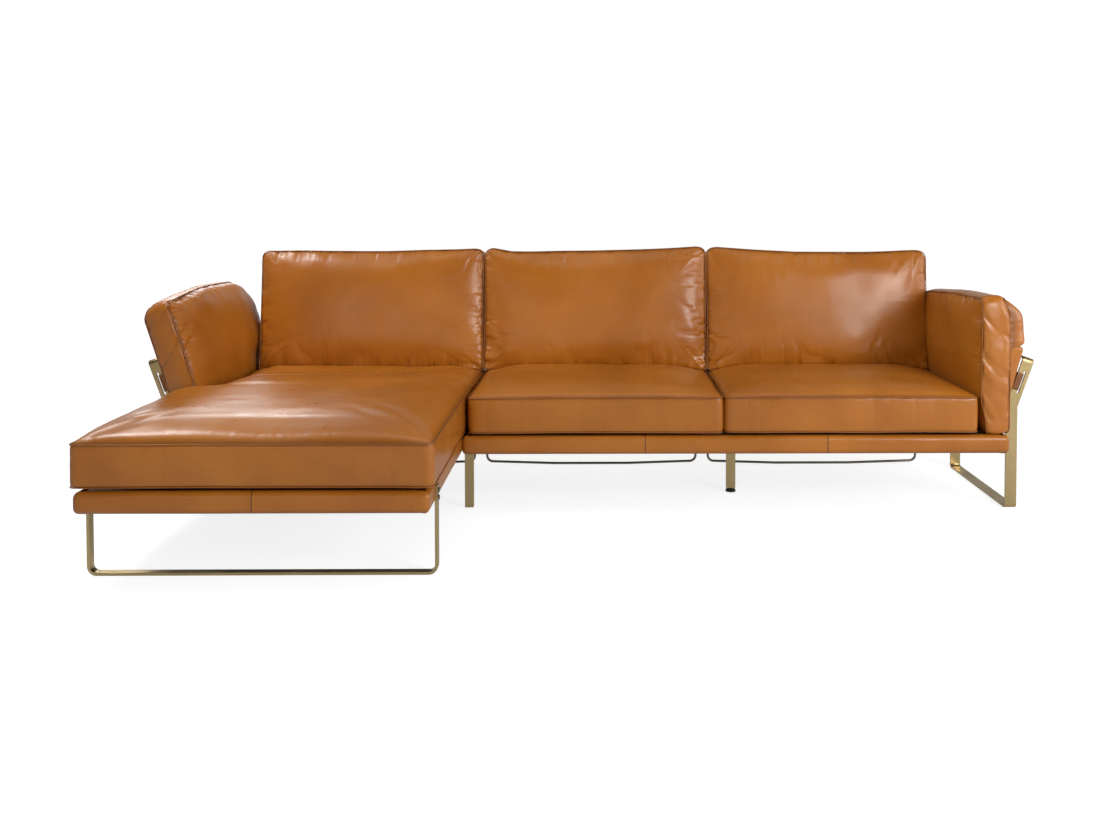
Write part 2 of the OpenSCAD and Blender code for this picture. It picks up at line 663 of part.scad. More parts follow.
// An arm pad: its side outline in Y and Z, and its thickness in X. The outer
// face puffs out above the side frame, and the lower edge is round so that
// it turns on its hinge without meeting the seat or the base.
crest_place_share = 0.5;
crest_fall_share = 0.9;
arm_pole_shares = [0.52, 0.66];
arm_ring_shares = [0.4, 0.68, 0.86, 0.96];
arm_boxing_share = 0.35;
puff_power = 4;
swing_share = 1.1;
arm_outline = rounded_outline(
    [[front_y + arm_front_inset, arm_z0], [front_y + arm_heel, arm_z0],
        [front_y + arm_waist, arm_z0 + arm_heel_rise], [front_y + arm_tail, arm_tail_z],
        [front_y + arm_tail - arm_tail_r, arm_z0 + arm_h + arm_rise * crest_fall_share],
        [front_y + arm_heel * crest_place_share, arm_z0 + arm_h + arm_rise],
        [front_y + arm_front_inset, arm_z0 + arm_h]],
    [arm_top_r, arm_top_r, arm_top_r, arm_waist_r, arm_crest_r, arm_tail_r, arm_top_r],
    2, [6, 1, 3, 1, 3, 3, 5], 0);
arm_pole = [front_y + arm_heel * arm_pole_shares.x, arm_z0 + arm_h * arm_pole_shares.y];

// Half the pad's thickness at a height: a round lower edge below the corner
function arm_half(z) = let (r = arm_corner_r, u = z - arm_z0)
    u >= r ? arm_t / 2 : arm_t / 2 - r + sqrt(max(0, r * r - (r - u) * (r - u)));
function smooth(t) = let (s = min(1, max(0, t))) s * s * (3 - 2 * s);
function outer_puff(s, z) = arm_puff * (1 - pow(s, puff_power)) * smooth((z - puff_z) / (arm_corner_r * 2));
function inner_puff(s, z) = arm_inner_puff * (1 - pow(s, puff_power)) * smooth((z - hinge_z) / arm_t);
function arm_ring(s, side) = [for (p = arm_outline) let (q = arm_pole + s * (p - arm_pole))
    [side > 0 ? arm_half(q.y) + outer_puff(s, q.y) : -arm_half(q.y) - inner_puff(s, q.y), q.x, q.y]];
function boxing_ring(t) = [for (p = arm_outline)
    let (grow = 1 + arm_end_puff / arm_h, q = arm_pole + grow * (p - arm_pole), z = max(arm_z0, q.y))
    [t * arm_half(z), p.y < arm_z0 + over ? p.x : q.x, z]];
module arm_pad() {
    count = len(arm_outline);
    rings = concat([for (s = arm_ring_shares) each arm_ring(s, -1)], arm_ring(1, -1),
        boxing_ring(-arm_boxing_share),
        boxing_ring(arm_boxing_share),
        arm_ring(1, 1), [for (n = [len(arm_ring_shares) - 1 : -1 : 0]) each arm_ring(arm_ring_shares[n], 1)]);
    points = concat([[-arm_t / 2 - inner_puff(0, arm_pole.y), arm_pole.x, arm_pole.y]], rings,
        [[arm_t / 2 + outer_puff(0, arm_pole.y), arm_pole.x, arm_pole.y]]);
    difference() {
        polyhedron(points, skin_faces(2 * len(arm_ring_shares) + 4, count));
        arm_pocket();
        translate([arm_t / 2 + weld, front_y - arm_t, arm_z0 - over])
            cube([arm_puff * 2, base_d + 2 * arm_t, crease_z - arm_z0 + over]);
    }
}

// Room in the pad for the board, the hinge legs and the hinge brackets
module arm_pocket() {
    translate([-board_t / 2 - clear, front_y + board_front - clear, board_bottom - clear])
        cube([board_t + 2 * clear, board_back - board_front + 2 * clear,
            board_top - board_bottom + 2 * clear]);
    swing = (hinge_z - arm_z0) * tan(arm_recline);
    for (y = hinge_ys) {
        translate([0, y + hinge_t + pin_head_h + 2 * over, 0]) rotate([quarter_turn, 0, 0])
            linear_extrude(2 * (hinge_t + pin_head_h + 2 * over)) polygon([
                [-drum_d / 2 - over, hinge_z + drum_d / 2 + over],
                [-drum_d / 2 - over, hinge_z - drum_d / 2],
                [-hinge_w / 2 - over, arm_z0 - over],
                [hinge_w / 2 + over + swing * swing_share, arm_z0 - over],
                [drum_d / 2 + 2 * over, hinge_z - drum_d / 2],
                [drum_d / 2 + 2 * over, hinge_z + drum_d / 2 + over]]);
        translate([-board_t / 2 - hinge_t - clear, y - hinge_t - pin_head_h - 2 * over, hinge_z])
            cube([board_t + 2 * hinge_t + 2 * clear, flange_len + 2 * (hinge_t + pin_head_h),
                board_bottom - hinge_z + hinge_leg_len]);
        translate([-board_t / 2 - hinge_t - screw_head_h - clear,
            y + screw_place - screw_head_d / 2 - clear, board_bottom - clear])
            cube([board_t, screw_head_d + 2 * clear, hinge_leg_len]);
    }
}
module arm_board() difference() {
    translate([-board_t / 2, front_y + board_front, board_bottom])
        cube([board_t, board_back - board_front, board_top - board_bottom]);
    leg_screw_places() cylinder(d = screw_d + clear, h = 2 * (board_t + hinge_t), center = true);
}
leg_screw_shares = [0.2, 0.5];
leg_screw_zs = [for (share = leg_screw_shares) board_bottom + hinge_leg_len * share];
screw_place_share = 0.6;
screw_place = flange_len * screw_place_share;
screw_bite_share = 0.8;

// The fixed part of a click hinge: a bar set in the base's side board, with
// the click drum round the pin; and the moving leg that holds the arm's board
module hinge_bracket() for (y = hinge_ys) difference() {
    union() {
        translate([-hinge_w / 2, y - hinge_t, top_z - pocket_len])
            cube([hinge_w, hinge_t, hinge_z - top_z + pocket_len]);
        translate([0, y, hinge_z]) rotate([quarter_turn, 0, 0]) cylinder(d = drum_d, h = hinge_t);
    }
    translate([0, y + over, hinge_z]) rotate([quarter_turn, 0, 0])
        cylinder(d = pin_d + clear, h = hinge_t + 2 * over);
}
module hinge_leg() for (y = hinge_ys) difference() {
    union() {
        translate([0, y + clear + hinge_t, hinge_z]) rotate([quarter_turn, 0, 0])
            cylinder(d = drum_d, h = hinge_t);
        translate([-board_t / 2 - hinge_t, y + clear, hinge_z])
            cube([hinge_w + hinge_t, hinge_t, board_bottom - clear - hinge_z]);
        translate([-board_t / 2 - hinge_t, y + clear, board_bottom - hinge_w])
            cube([hinge_t, flange_len, hinge_leg_len]);
    }
    translate([0, y + hinge_t + clear + over, hinge_z]) rotate([quarter_turn, 0, 0])
        cylinder(d = pin_d + 2 * pin_play, h = hinge_t + 2 * over);
    leg_screw_places() cylinder(d = screw_d + clear, h = 4 * hinge_t, center = true);
}
// Two wood screws through each hinge leg's flange into the arm's board
module leg_screw_places() for (y = hinge_ys, z = leg_screw_zs)
    translate([-board_t / 2 - hinge_t, y + screw_place, z]) rotate([0, -quarter_turn, 0]) children();
module hinge_screws() leg_screw_places() {
    length = hinge_t + board_t * screw_bite_share;
    cylinder(d = screw_head_d, h = screw_head_h);
    translate([0, 0, -length]) cylinder(d = screw_d, h = length);
}
module hinge_pin() for (y = hinge_ys) translate([0, y, hinge_z]) rotate([quarter_turn, 0, 0]) {
    translate([0, 0, -hinge_t - 2 * clear]) cylinder(d = pin_d, h = 2 * hinge_t + 3 * clear);
    translate([0, 0, hinge_t + clear]) cylinder(d = pin_head_d, h = pin_head_h);
    translate([0, 0, -hinge_t - 2 * clear - pin_head_h]) cylinder(d = pin_head_d, h = pin_head_h);
}

// Pockets in the side boards and slits in the covers for the hinge brackets
module hinge_slots() for (x = [left_pivot_x, right_pivot_x], y = hinge_ys)
    translate([x - hinge_w / 2 - clear, y - hinge_t - clear, top_z - pocket_len - clear])
        cube([hinge_w + 2 * clear, hinge_t + 2 * clear, pocket_len + 2 * over]);

// The right arm is stored upright, the left one reclined on its hinge
module at_right_arm() translate([right_pivot_x, 0, 0]) children();
module at_left_arm() translate([left_pivot_x, 0, 0]) mirror([1, 0, 0]) children();
module reclined()
    translate([0, 0, hinge_z]) rotate([0, arm_recline, 0]) translate([0, 0, -hinge_z]) children();
module right_arm_pad() color("peru") at_right_arm() arm_pad();
module left_arm_pad() color("peru") at_left_arm() reclined() arm_pad();
module right_arm_board() color("burlywood") at_right_arm() arm_board();
module left_arm_board() color("burlywood") at_left_arm() reclined() arm_board();
module right_hinge_legs() color("silver") at_right_arm() hinge_leg();
module left_hinge_legs() color("silver") at_left_arm() reclined() hinge_leg();
module right_hinge_brackets() color("dimgray") at_right_arm() hinge_bracket();
module left_hinge_brackets() color("dimgray") at_left_arm() hinge_bracket();
module right_hinge_pins() color("silver") at_right_arm() hinge_pin();
module left_hinge_pins() color("silver") at_left_arm() hinge_pin();
module right_hinge_screws() color("dimgray") at_right_arm() hinge_screws();
module left_hinge_screws() color("dimgray") at_left_arm() reclined() hinge_screws();

chaise_seat_cushion();
middle_seat_cushion();
right_seat_cushion();
chaise_back_cushion();
middle_back_cushion();
right_back_cushion();
chaise_front_cover();
chaise_left_cover();
chaise_right_cover();
chaise_rear_cover();
sofa_front_cover();
sofa_left_cover();
sofa_right_cover();
sofa_rear_cover();
chaise_frame();
sofa_frame();
chaise_webbing();
sofa_webbing();
chaise_deck_felt();
sofa_deck_felt();
chaise_dust_cover();
sofa_dust_cover();
left_side_frame();
right_side_frame();
left_side_plate();
right_side_plate();
left_side_bolts();
right_side_bolts();
chaise_hoop();
hoop_bolts();
middle_leg();
middle_leg_flange();
centre_leg();
centre_leg_bracket();
centre_leg_glide();
chaise_back_loop();
middle_back_loop();
right_back_loop();
chaise_back_sling();
middle_back_sling();
right_back_sling();
loop_clips();
module_bolts();
left_bar_straps();
right_bar_straps();
left_arm_pad();
right_arm_pad();
left_arm_board();
right_arm_board();
left_hinge_brackets();
right_hinge_brackets();
left_hinge_legs();
right_hinge_legs();
left_hinge_pins();
right_hinge_pins();
left_hinge_screws();
right_hinge_screws();
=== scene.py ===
import math
from itertools import product

import bmesh
import bpy
import numpy as np
from mathutils import Matrix, Vector
from mathutils.bvhtree import BVHTree


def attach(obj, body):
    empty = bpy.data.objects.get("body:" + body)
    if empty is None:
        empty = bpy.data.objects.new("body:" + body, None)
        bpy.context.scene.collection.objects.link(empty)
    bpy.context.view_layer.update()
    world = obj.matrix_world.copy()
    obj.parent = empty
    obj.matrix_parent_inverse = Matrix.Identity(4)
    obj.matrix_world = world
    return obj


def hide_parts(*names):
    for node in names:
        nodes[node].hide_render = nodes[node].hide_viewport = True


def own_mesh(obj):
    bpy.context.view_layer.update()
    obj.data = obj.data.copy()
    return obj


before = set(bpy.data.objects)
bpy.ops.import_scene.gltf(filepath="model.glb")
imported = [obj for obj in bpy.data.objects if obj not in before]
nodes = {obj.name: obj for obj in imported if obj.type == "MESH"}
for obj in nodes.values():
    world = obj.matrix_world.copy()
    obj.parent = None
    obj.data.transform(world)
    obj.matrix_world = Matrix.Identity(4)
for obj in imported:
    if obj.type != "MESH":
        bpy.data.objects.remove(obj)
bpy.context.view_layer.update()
scene = bpy.context.scene
MM = 0.001

# Sizes repeated from the part's source, in metres
FRONT_Y, REAR_Y, SEAT_Y1, CHAISE_Y = -0.084, 0.610, 0.6033, -0.784
PIPING_Z, BOXING_H = 0.2863, 0.122
SEAT_X0, SEAT_W, SEAT_GAP = 0.0055, 0.898, 0.004
CHAISE_X0, CHAISE_SEAT_X0, CHAISE_SEAT_X1 = -1.041, -0.9175, -0.0035
NOTCH_Y = -0.1005
BACK_X0, BACK_W, BACK_GAP, BACK_H, BACK_T, BACK_LEAN = -0.9095, 0.90417, 0.0035, 0.513, 0.126, math.radians(8)
BACK_BOTTOM = 0.396
SLING_Y, KINK_Z = 0.6073, 0.300
BACK_Y = SLING_Y - 0.0003 + (BACK_BOTTOM - KINK_Z) * math.tan(BACK_LEAN)
ARM_T, ARM_Z0, HINGE_Z = 0.090, 0.276, 0.380
LEFT_PIVOT, RIGHT_PIVOT, RECLINE = -0.987, 1.875, math.radians(18)
LOOP_XS, LOOP_W, ROD_D, LOOP_Y, SLING_Z = (-0.4894, 0.43425, 1.3579), 0.88217, 0.010, 0.6153, (0.010, 0.4265)
SIDE_X0, SIDE_X1, UPRIGHT_Y0, UPRIGHT_Y1 = -1.0335, 1.9215, -0.032, 0.558
FOLD_Z, FOLD_LEAN, BAR_T, STRAP_LAND, STRAP_Z = 0.372, math.radians(19.5), 0.008, 0.019, (0.063, 0.125)
HINGE_YS, BASE_Z, BASE_H = (0.046, 0.476), 0.208, 0.066
CHAISE_BASE, SOFA_BASE = (-1.0275, CHAISE_Y, -0.017, REAR_Y), (-0.016, FRONT_Y, 1.9155, REAR_Y)
FELT_Z, WEB_Z, WEAVE, DUST_Z = 0.2719, 0.269, 0.00045, 0.2155
WHITE = (1, 1, 1, 1)

# The arms' crease, the width of their gusset and what it has beyond the solid pad. For each side, its path in y and z,
# the lean of its foot, the height and the drop of its top corner, and the flare of its front.
CREASE_Z, ARM_W, ARM_EXTRA = 0.576, 0.104, 0.014
ARMS = {
    -1: dict(path=[(-0.076, 0.276), (0.571, 0.276), (0.606, 0.390), (0.698, 0.640), (0.593, 0.772), (0.2435, 0.775),
                   (-0.076, 0.745)], foot=0.010, top=0.76, drop=0.026, flare=0.022),
    1: dict(path=[(-0.076, 0.276), (0.571, 0.276), (0.596, 0.390), (0.612, 0.620), (0.590, 0.728), (0.2435, 0.754),
                  (-0.076, 0.757)], foot=0.018, top=0.75, drop=0.018, flare=0.010),
}


# ---- objects and nodes
def add_object(name, data):
    made = bpy.data.objects.new(name, data)
    scene.collection.objects.link(made)
    return made


class Graph:
    """A node tree with short calls for its nodes."""

    def __init__(self, owner):
        owner.use_nodes = True
        self.tree = owner.node_tree

    def node(self, kind, inputs=(), **values):
        """A new node's outputs. Its inputs are numbers or sockets, in a list or by name."""
        made = self.tree.nodes.new("ShaderNode" + kind)
        for key, value in values.items():
            setattr(made, key, value)
        for key, value in inputs.items() if isinstance(inputs, dict) else enumerate(inputs):
            if isinstance(value, bpy.types.NodeSocket):
                self.tree.links.new(value, made.inputs[key])
            else:
                made.inputs[key].default_value = value
        return made.outputs

    def math(self, operation, a, b):
        return self.node("Math", [a, b], operation=operation)[0]

    def range(self, value, low, high, start=0.0, end=1.0, **values):
        return self.node("MapRange", [value, start, end, low, high], **values)[0]


# ---- camera and light
def place_camera():
    width, height, focal, centre = 1100, 824, 1045.4, (608.4, 237.6)  # in the photo's pixels
    data = bpy.data.cameras.new("camera")
    scene.camera = cam = add_object("camera", data)
    cam.location = (0.46496, -3.73302, 1.09346)
    cam.rotation_euler = (math.radians(90) - 0.033, 0, -0.0093)
    data.sensor_width = 36
    data.lens = focal * data.sensor_width / width
    data.shift_x = (width / 2 - centre[0]) / width
    data.shift_y = (centre[1] - height / 2) / width
    data.clip_end = 60


def area_light(name, place, target, size, power, colour=(1, 1, 1)):
    data = bpy.data.lights.new(name, "AREA")
    data.shape = "RECTANGLE"
    data.size, data.size_y = size
    data.energy, data.color = power, colour
    lamp = add_object(name, data)
    lamp.rotation_euler = (Vector(target) - Vector(place)).to_track_quat("-Z", "Y").to_euler()
    lamp.location = place
    lamp.visible_camera = False
    return lamp


def light_scene():
    area_light("key_right", (3.4, -2.9, 1.7), (0.9, 0.2, 0.4), (1.7, 1.7), 90, (1, 0.985, 0.96))
    area_light("side_right", (4.3, -0.5, 1.2), (0.8, 0.3, 0.6), (1.2, 1.5), 22)
    front = area_light("front", (0.3, -4.6, 1.0), (-0.1, 0.1, 0.35), (2.2, 1.2), 40)
    front.visible_glossy = False
    area_light("left_high", (-1.9, 0.1, 2.7), (-0.7, 0.5, 0.85), (1.0, 0.8), 36)
    area_light("sheen_left", (-1.5, -4.0, 1.15), (-0.5, 0.4, 0.55), (1.3, 0.8), 5.5)
    area_light("rear_left", (-2.05, 2.8, 2.1), (-0.75, -0.6, 0.43), (1.3, 0.7), 17)
    area_light("top", (0.3, -0.5, 3.3), (0.3, 0.1, 0), (3.4, 1.3), 14)
    scene.world = bpy.data.worlds.new("studio")
    g = Graph(scene.world)
    g.tree.nodes.clear()
    path = g.node("LightPath")
    axes = g.node("SeparateXYZ", [g.node("TexCoord")["Generated"]])
    behind = g.range(axes["Y"], 0.17, 0.70, -0.15, 0.30, interpolation_type="SMOOTHSTEP")
    level = g.math("MULTIPLY", behind, g.range(axes["Z"], 1.0, 0.35, 0.16, 0.42))
    seen, mirrored = g.node("Background", [WHITE])[0], g.node("Background", [WHITE, level])[0]
    lit = g.node("Background", [(0.97, 0.985, 1, 1), 0.24])[0]
    unseen = g.node("MixShader", [path["Is Glossy Ray"], lit, mirrored])[0]
    direct = g.math("MAXIMUM", path["Is Camera Ray"], path["Is Transmission Ray"])
    g.node("OutputWorld", [g.node("MixShader", [direct, unseen, seen])[0]])
    scene.view_settings.view_transform = "Standard"


def make_floor():
    data = bpy.data.meshes.new("floor")
    s = 14
    data.from_pydata([(-s, -s, 0), (s, -s, 0), (s, s, 0), (-s, s, 0)], [], [(0, 1, 2, 3)])
    floor = add_object("floor", data)
    floor.location.z = -0.0005
    mat = bpy.data.materials.new("pale_floor")
    g = Graph(mat)
    g.tree.nodes.clear()
    far = g.node("VectorMath", [g.node("TexCoord")["Object"]], operation="LENGTH")["Value"]
    fade = g.range(far, 0.82, 0.985, 2.2, 6.5, interpolation_type="SMOOTHSTEP")
    path = g.node("LightPath")
    seen = g.math("MAXIMUM", path["Is Camera Ray"], g.math("MULTIPLY", path["Is Glossy Ray"], 0.42))
    seen = g.math("MAXIMUM", seen, path["Is Transmission Ray"])
    glow = g.node("Emission", [WHITE, g.math("MULTIPLY", seen, fade)])[0]
    matte = g.node("BsdfDiffuse", [(0.42, 0.42, 0.42, 1)])[0]
    g.node("OutputMaterial", [g.node("AddShader", [matte, glow])[0]])
    data.materials.append(mat)


# ---- materials
class Shader(Graph):
    """A Principled material with short calls for its textures."""

    def __init__(self, name, **settings):
        self.mat = bpy.data.materials.new(name)
        super().__init__(self.mat)
        self.bsdf = self.tree.nodes["Principled BSDF"].inputs
        for key, value in settings.items():
            self.bsdf[key.replace("_", " ")].default_value = value
        self.place = self.node("TexCoord")["Object"]

    def feed(self, **sockets):
        for key, socket in sockets.items():
            self.tree.links.new(socket, self.bsdf[key.replace("_", " ")])

    def stretch(self, scale):
        return self.node("Mapping", {0: self.place, "Scale": scale})[0]

    def noise(self, scale, detail=2.0, rough=0.5, distortion=0.0, place=None):
        return self.node("TexNoise", {"Vector": place or self.place, "Scale": scale, "Detail": detail,
                                      "Roughness": rough, "Distortion": distortion})["Fac"]

    def voronoi(self, scale, feature="F1"):
        return self.node("TexVoronoi", {"Vector": self.place, "Scale": scale}, feature=feature)["Distance"]

    def ramp(self, value, *stops):
        colour = self.node("ValToRGB", [value])["Color"]
        elements = colour.node.color_ramp.elements
        while len(elements) < len(stops):
            elements.new(0.5)
        for element, (place, tint) in zip(elements, stops):
            element.position, element.color = place, (*tint, 1)
        return colour

    def mix(self, share, a, b):
        """The colour a, with a share of the plain colour b."""
        return self.node("Mix", {0: share, 6: a, 7: (*b, 1)}, data_type="RGBA")[2]

    def bump(self, *layers):
        """Each layer is a height, its distance in metres and its strength."""
        below = {}
        for height, distance, strength in layers:
            inputs = {"Strength": strength, "Distance": distance, "Height": height, **below}
            below = {"Normal": self.node("Bump", inputs)["Normal"]}
        self.feed(**below)


def leather(name, light, mid, dark, seam, rough=0.33, grain=1.0):
    s = Shader(name, Roughness=rough, Coat_Weight=0.08, Coat_Roughness=0.16)
    tone = s.ramp(s.noise(2.6, 4, 0.55, 0.4), (0.34, dark), (0.5, mid), (0.66, light))
    tone = s.mix(s.range(s.noise(60, 3, 0.6), 0, 0.10, 0.45, 0.75), tone, dark)
    tone = s.mix(s.range(s.voronoi(900), 0.0, 0.06, 0.2, 0.9), tone, dark)
    # Painted shade: the leather turns towards its seam colour near the seams, standing in for the shade in the seam
    # grooves
    tone = s.mix(s.node("Attribute", attribute_name="seam")["Fac"], tone, seam)
    s.feed(Base_Color=tone, Roughness=s.range(s.noise(7, 3, 0.6), rough - 0.07, rough + 0.08, 0.3, 0.7))
    s.bump((s.noise(24, 4, 0.55, 0.4), 0.0010, 0.12 * grain),
           (s.voronoi(420, "DISTANCE_TO_EDGE"), 0.0003, 0.25 * grain),
           (s.noise(1300, 2, 0.5), 0.0002, 0.12 * grain))
    return s.mat


def metal(name, base, tint, rough, brush=(6, 6, 400)):
    s = Shader(name, Metallic=1.0, Roughness=rough)
    lines = s.noise(1, 3, 0.7, 0, s.stretch(brush))
    tone = s.ramp(s.noise(7, 3, 0.6), (0.3, base), (0.75, tint))
    s.feed(Base_Color=s.mix(s.range(lines, 0, 0.2, 0.4, 0.8), tone, tint),
           Roughness=s.range(lines, rough - 0.06, rough + 0.08, 0.3, 0.7))
    s.bump((lines, 0.0002, 0.12), (s.noise(160, 2, 0.5), 0.0001, 0.08))
    return s.mat


def plain(s, texture, relief, distance, strength, *stops):
    """A shader's colours from one texture, and its bumps from another."""
    s.feed(Base_Color=s.ramp(texture, *stops))
    s.bump((relief, distance, strength))
    return s.mat


def make_materials():
    m = {}
    # The fourth colour of each leather is the painted shade used beside its seams
    m["leather"] = leather("cognac_leather", (0.466, 0.158, 0.014), (0.417, 0.135, 0.011),
                           (0.357, 0.109, 0.008), (0.10, 0.026, 0.005))
    # The piping is the cushions' own leather painted darker, as painted shade for the groove along each seam
    m["piping"] = leather("shaded_piping_leather", (0.34, 0.110, 0.011), (0.29, 0.092, 0.009),
                          (0.24, 0.074, 0.007), (0.08, 0.022, 0.004), 0.48, 0.5)
    m["sling"] = leather("saddle_leather", (0.27, 0.096, 0.018), (0.22, 0.076, 0.013),
                         (0.16, 0.052, 0.009), (0.06, 0.020, 0.006), 0.46)
    m["brass"] = metal("antique_brass", (0.53, 0.405, 0.207), (0.44, 0.33, 0.158), 0.34)
    m["gunmetal"] = metal("gunmetal", (0.30, 0.25, 0.21), (0.20, 0.17, 0.15), 0.40)
    m["zinc"] = metal("zinc_plate", (0.55, 0.55, 0.53), (0.42, 0.42, 0.40), 0.36, (300, 300, 300))
    s = Shader("black_nylon", Roughness=0.34, Base_Color=(0.012, 0.012, 0.012, 1))
    m["nylon"] = plain(s, s.noise(40, 2), s.noise(700, 2), 0.0001, 0.2,
                       (0.4, (0.010, 0.010, 0.010)), (0.7, (0.022, 0.021, 0.020)))
    s = Shader("plywood", Roughness=0.62)
    rings = s.noise(1, 4, 0.6, 1.2, s.stretch((3, 60, 60)))
    m["wood"] = plain(s, rings, rings, 0.0006, 0.3,
                      (0.35, (0.52, 0.36, 0.20)), (0.55, (0.62, 0.45, 0.27)), (0.7, (0.46, 0.30, 0.16)))
    # Painted shade: the felt is near black to stand for the shade in the gap under the cushions
    s = Shader("felt", Roughness=0.95)
    m["felt"] = plain(s, s.noise(260, 4, 0.7), s.noise(500, 4, 0.7), 0.0008, 0.5,
                      (0.35, (0.022, 0.021, 0.021)), (0.7, (0.050, 0.049, 0.047)))
    s = Shader("dust_cloth", Roughness=0.9)
    cells = s.voronoi(500)
    m["dust"] = plain(s, cells, cells, 0.0004, 0.5, (0.1, (0.010, 0.010, 0.010)), (0.8, (0.030, 0.029, 0.028)))
    s = Shader("webbing", Roughness=0.8)
    threads = s.noise(1, 2, 0.5, 0, s.stretch((700, 700, 20)))
    m["webbing"] = plain(s, threads, threads, 0.0005, 0.6, (0.35, (0.05, 0.05, 0.055)), (0.7, (0.11, 0.11, 0.12)))
    return m


# ---- geometry helpers
def lattice(i, seed):
    h = (i[:, 0] * 374761393 + i[:, 1] * 668265263 + i[:, 2] * 1442695041 + seed * 97463477) & 0xFFFFFFFF
    h = ((h ^ (h >> 13)) * 1274126177) & 0xFFFFFFFF
    return ((h ^ (h >> 16)) & 0xFFFF) / 32767.5 - 1


def wave(points, size, seed):
    """Smooth seeded noise from -1 to 1 at each point."""
    q = np.asarray(points, float) / size
    i = np.floor(q).astype(np.int64)
    f = q - i
    f = f * f * (3 - 2 * f)
    total = np.zeros(len(q))
    for corner in product((0, 1), repeat=3):
        weight = np.prod([f[:, n] if c else 1 - f[:, n] for n, c in enumerate(corner)], axis=0)
        total += weight * lattice(i + np.array(corner), seed)
    return total


def smoothstep(t):
    t = np.clip(t, 0, 1)
    return t * t * (3 - 2 * t)


def moved(points, matrix):
    m = np.array(matrix)
    return points @ m[:3, :3].T + m[:3, 3]


def rounded(path, radii, draws, cuts, step=0.004):
    """A rounded polygon, counter-clockwise, as the four lines between the corners in cuts."""
    path = [np.array(p, float) for p in path]
    points, mid, n = [], [], len(path)
    for i, c in enumerate(path):
        nxt = path[(i + 1) % n]
        unit_a = (path[i - 1] - c) / np.linalg.norm(path[i - 1] - c)
        unit_b = (nxt - c) / np.linalg.norm(nxt - c)
        start, end = c + radii[i] * unit_a, c + radii[i] * unit_b
        mid.append(len(points) + 4)
        for t in np.arange(9) / 8:
            points.append((1 - t) ** 2 * start + 2 * t * (1 - t) * c + t * t * end)
        beyond = nxt - radii[(i + 1) % n] * unit_b
        count = max(2, int(np.linalg.norm(beyond - end) / step))
        inward = np.array([-unit_b[1], unit_b[0]])
        for k in range(1, count):
            t = k / count
            points.append(end + t * (beyond - end) + 4 * draws[i] * t * (1 - t) * inward)
    points = np.array(points)
    lines = []
    for k in range(4):
        a, b = mid[cuts[k]], mid[cuts[(k + 1) % 4]]
        lines.append(points[a:b + 1] if b > a else np.vstack([points[a:], points[:b + 1]]))
    return lines[0], lines[1], lines[2][::-1], lines[3][::-1]


def rounded_box(x0, y0, x1, y1, radii, draws, step=0.004):
    return rounded([(x0, y0), (x1, y0), (x1, y1), (x0, y1)], radii, draws, (0, 1, 2, 3), step)


def rounded_loop(box, radius, draw=0.0, step=0.004):
    """A rounded box as one closed loop of points."""
    low, right, high, left = rounded_box(*box, [radius] * 4, [draw] * 4, step)
    return np.vstack([low[:-1], right[:-1], high[::-1][:-1], left[::-1][:-1]])


def distances(line):
    return np.r_[0, np.cumsum(np.linalg.norm(np.diff(line, axis=0), axis=1))]


def points_along(line, d, at):
    """A line's points at some distances, from the distances d of its own points."""
    return np.stack([np.interp(at, d, line[:, k]) for k in range(line.shape[1])], 1)


def resample(line, n):
    d = distances(line)
    return points_along(line, d, np.linspace(0, d[-1], n + 1))


def right_of(ahead, behind):
    """The directions to the right of the ways from the points behind to those ahead."""
    along = (ahead - behind) / np.linalg.norm(ahead - behind, axis=1)[:, None]
    return np.c_[along[:, 1], -along[:, 0]]


def path_normals(path, closed):
    ahead, behind = np.roll(path, -1, 0), np.roll(path, 1, 0)
    if not closed:
        ahead[-1], behind[0] = path[-1], path[0]
    return right_of(ahead, behind)


def path_length(path, closed=False):
    steps = np.diff(np.vstack([path, path[:1]]) if closed else path, axis=0)
    return float(np.linalg.norm(steps, axis=1).sum())


def coons(lines, nu, nv):
    """A patch of (nv + 1) by (nu + 1) points between four lines: low, right, high, left."""
    low, right, high, left = lines
    low, high = resample(low, nu), resample(high, nu)
    left, right = resample(left, nv), resample(right, nv)
    u = np.linspace(0, 1, nu + 1)[None, :, None]
    v = np.linspace(0, 1, nv + 1)[:, None, None]
    flat = (1 - u) * (1 - v) * low[0] + u * (1 - v) * low[-1] + (1 - u) * v * high[0] + u * v * high[-1]
    return (1 - v) * low[None] + v * high[None] + (1 - u) * left[:, None] + u * right[:, None] - flat


def add_mesh(name, points, faces, mat):
    data = bpy.data.meshes.new(name)
    data.from_pydata([tuple(p) for p in points], [], faces)
    data.materials.append(mat)
    data.shade_smooth()
    data.update()
    return add_object(name, data)


def subdivide(o):
    sub = o.modifiers.new("subdivision", "SUBSURF")
    sub.levels = sub.render_levels = 1


def soft(o, body, replaced=()):
    if replaced:
        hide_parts(*replaced)
    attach(o, body)


def sheet(o, node):
    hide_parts(node)
    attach(o, "root")


def tube(name, loops, radius, mat, body, closed=True):
    """Round cords along lines of points, as one curve piece."""
    data = bpy.data.curves.new(name, "CURVE")
    data.dimensions = "3D"
    data.bevel_depth = radius
    data.bevel_resolution = 2
    for loop in loops:
        line = data.splines.new("POLY")
        line.points.add(len(loop) - 1)
        line.points.foreach_set("co", np.c_[loop, np.ones(len(loop))].ravel())
        line.use_cyclic_u = closed
    data.materials.append(mat)
    data.use_fill_caps = not closed
    made = add_object(name, data)
    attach(made, body)


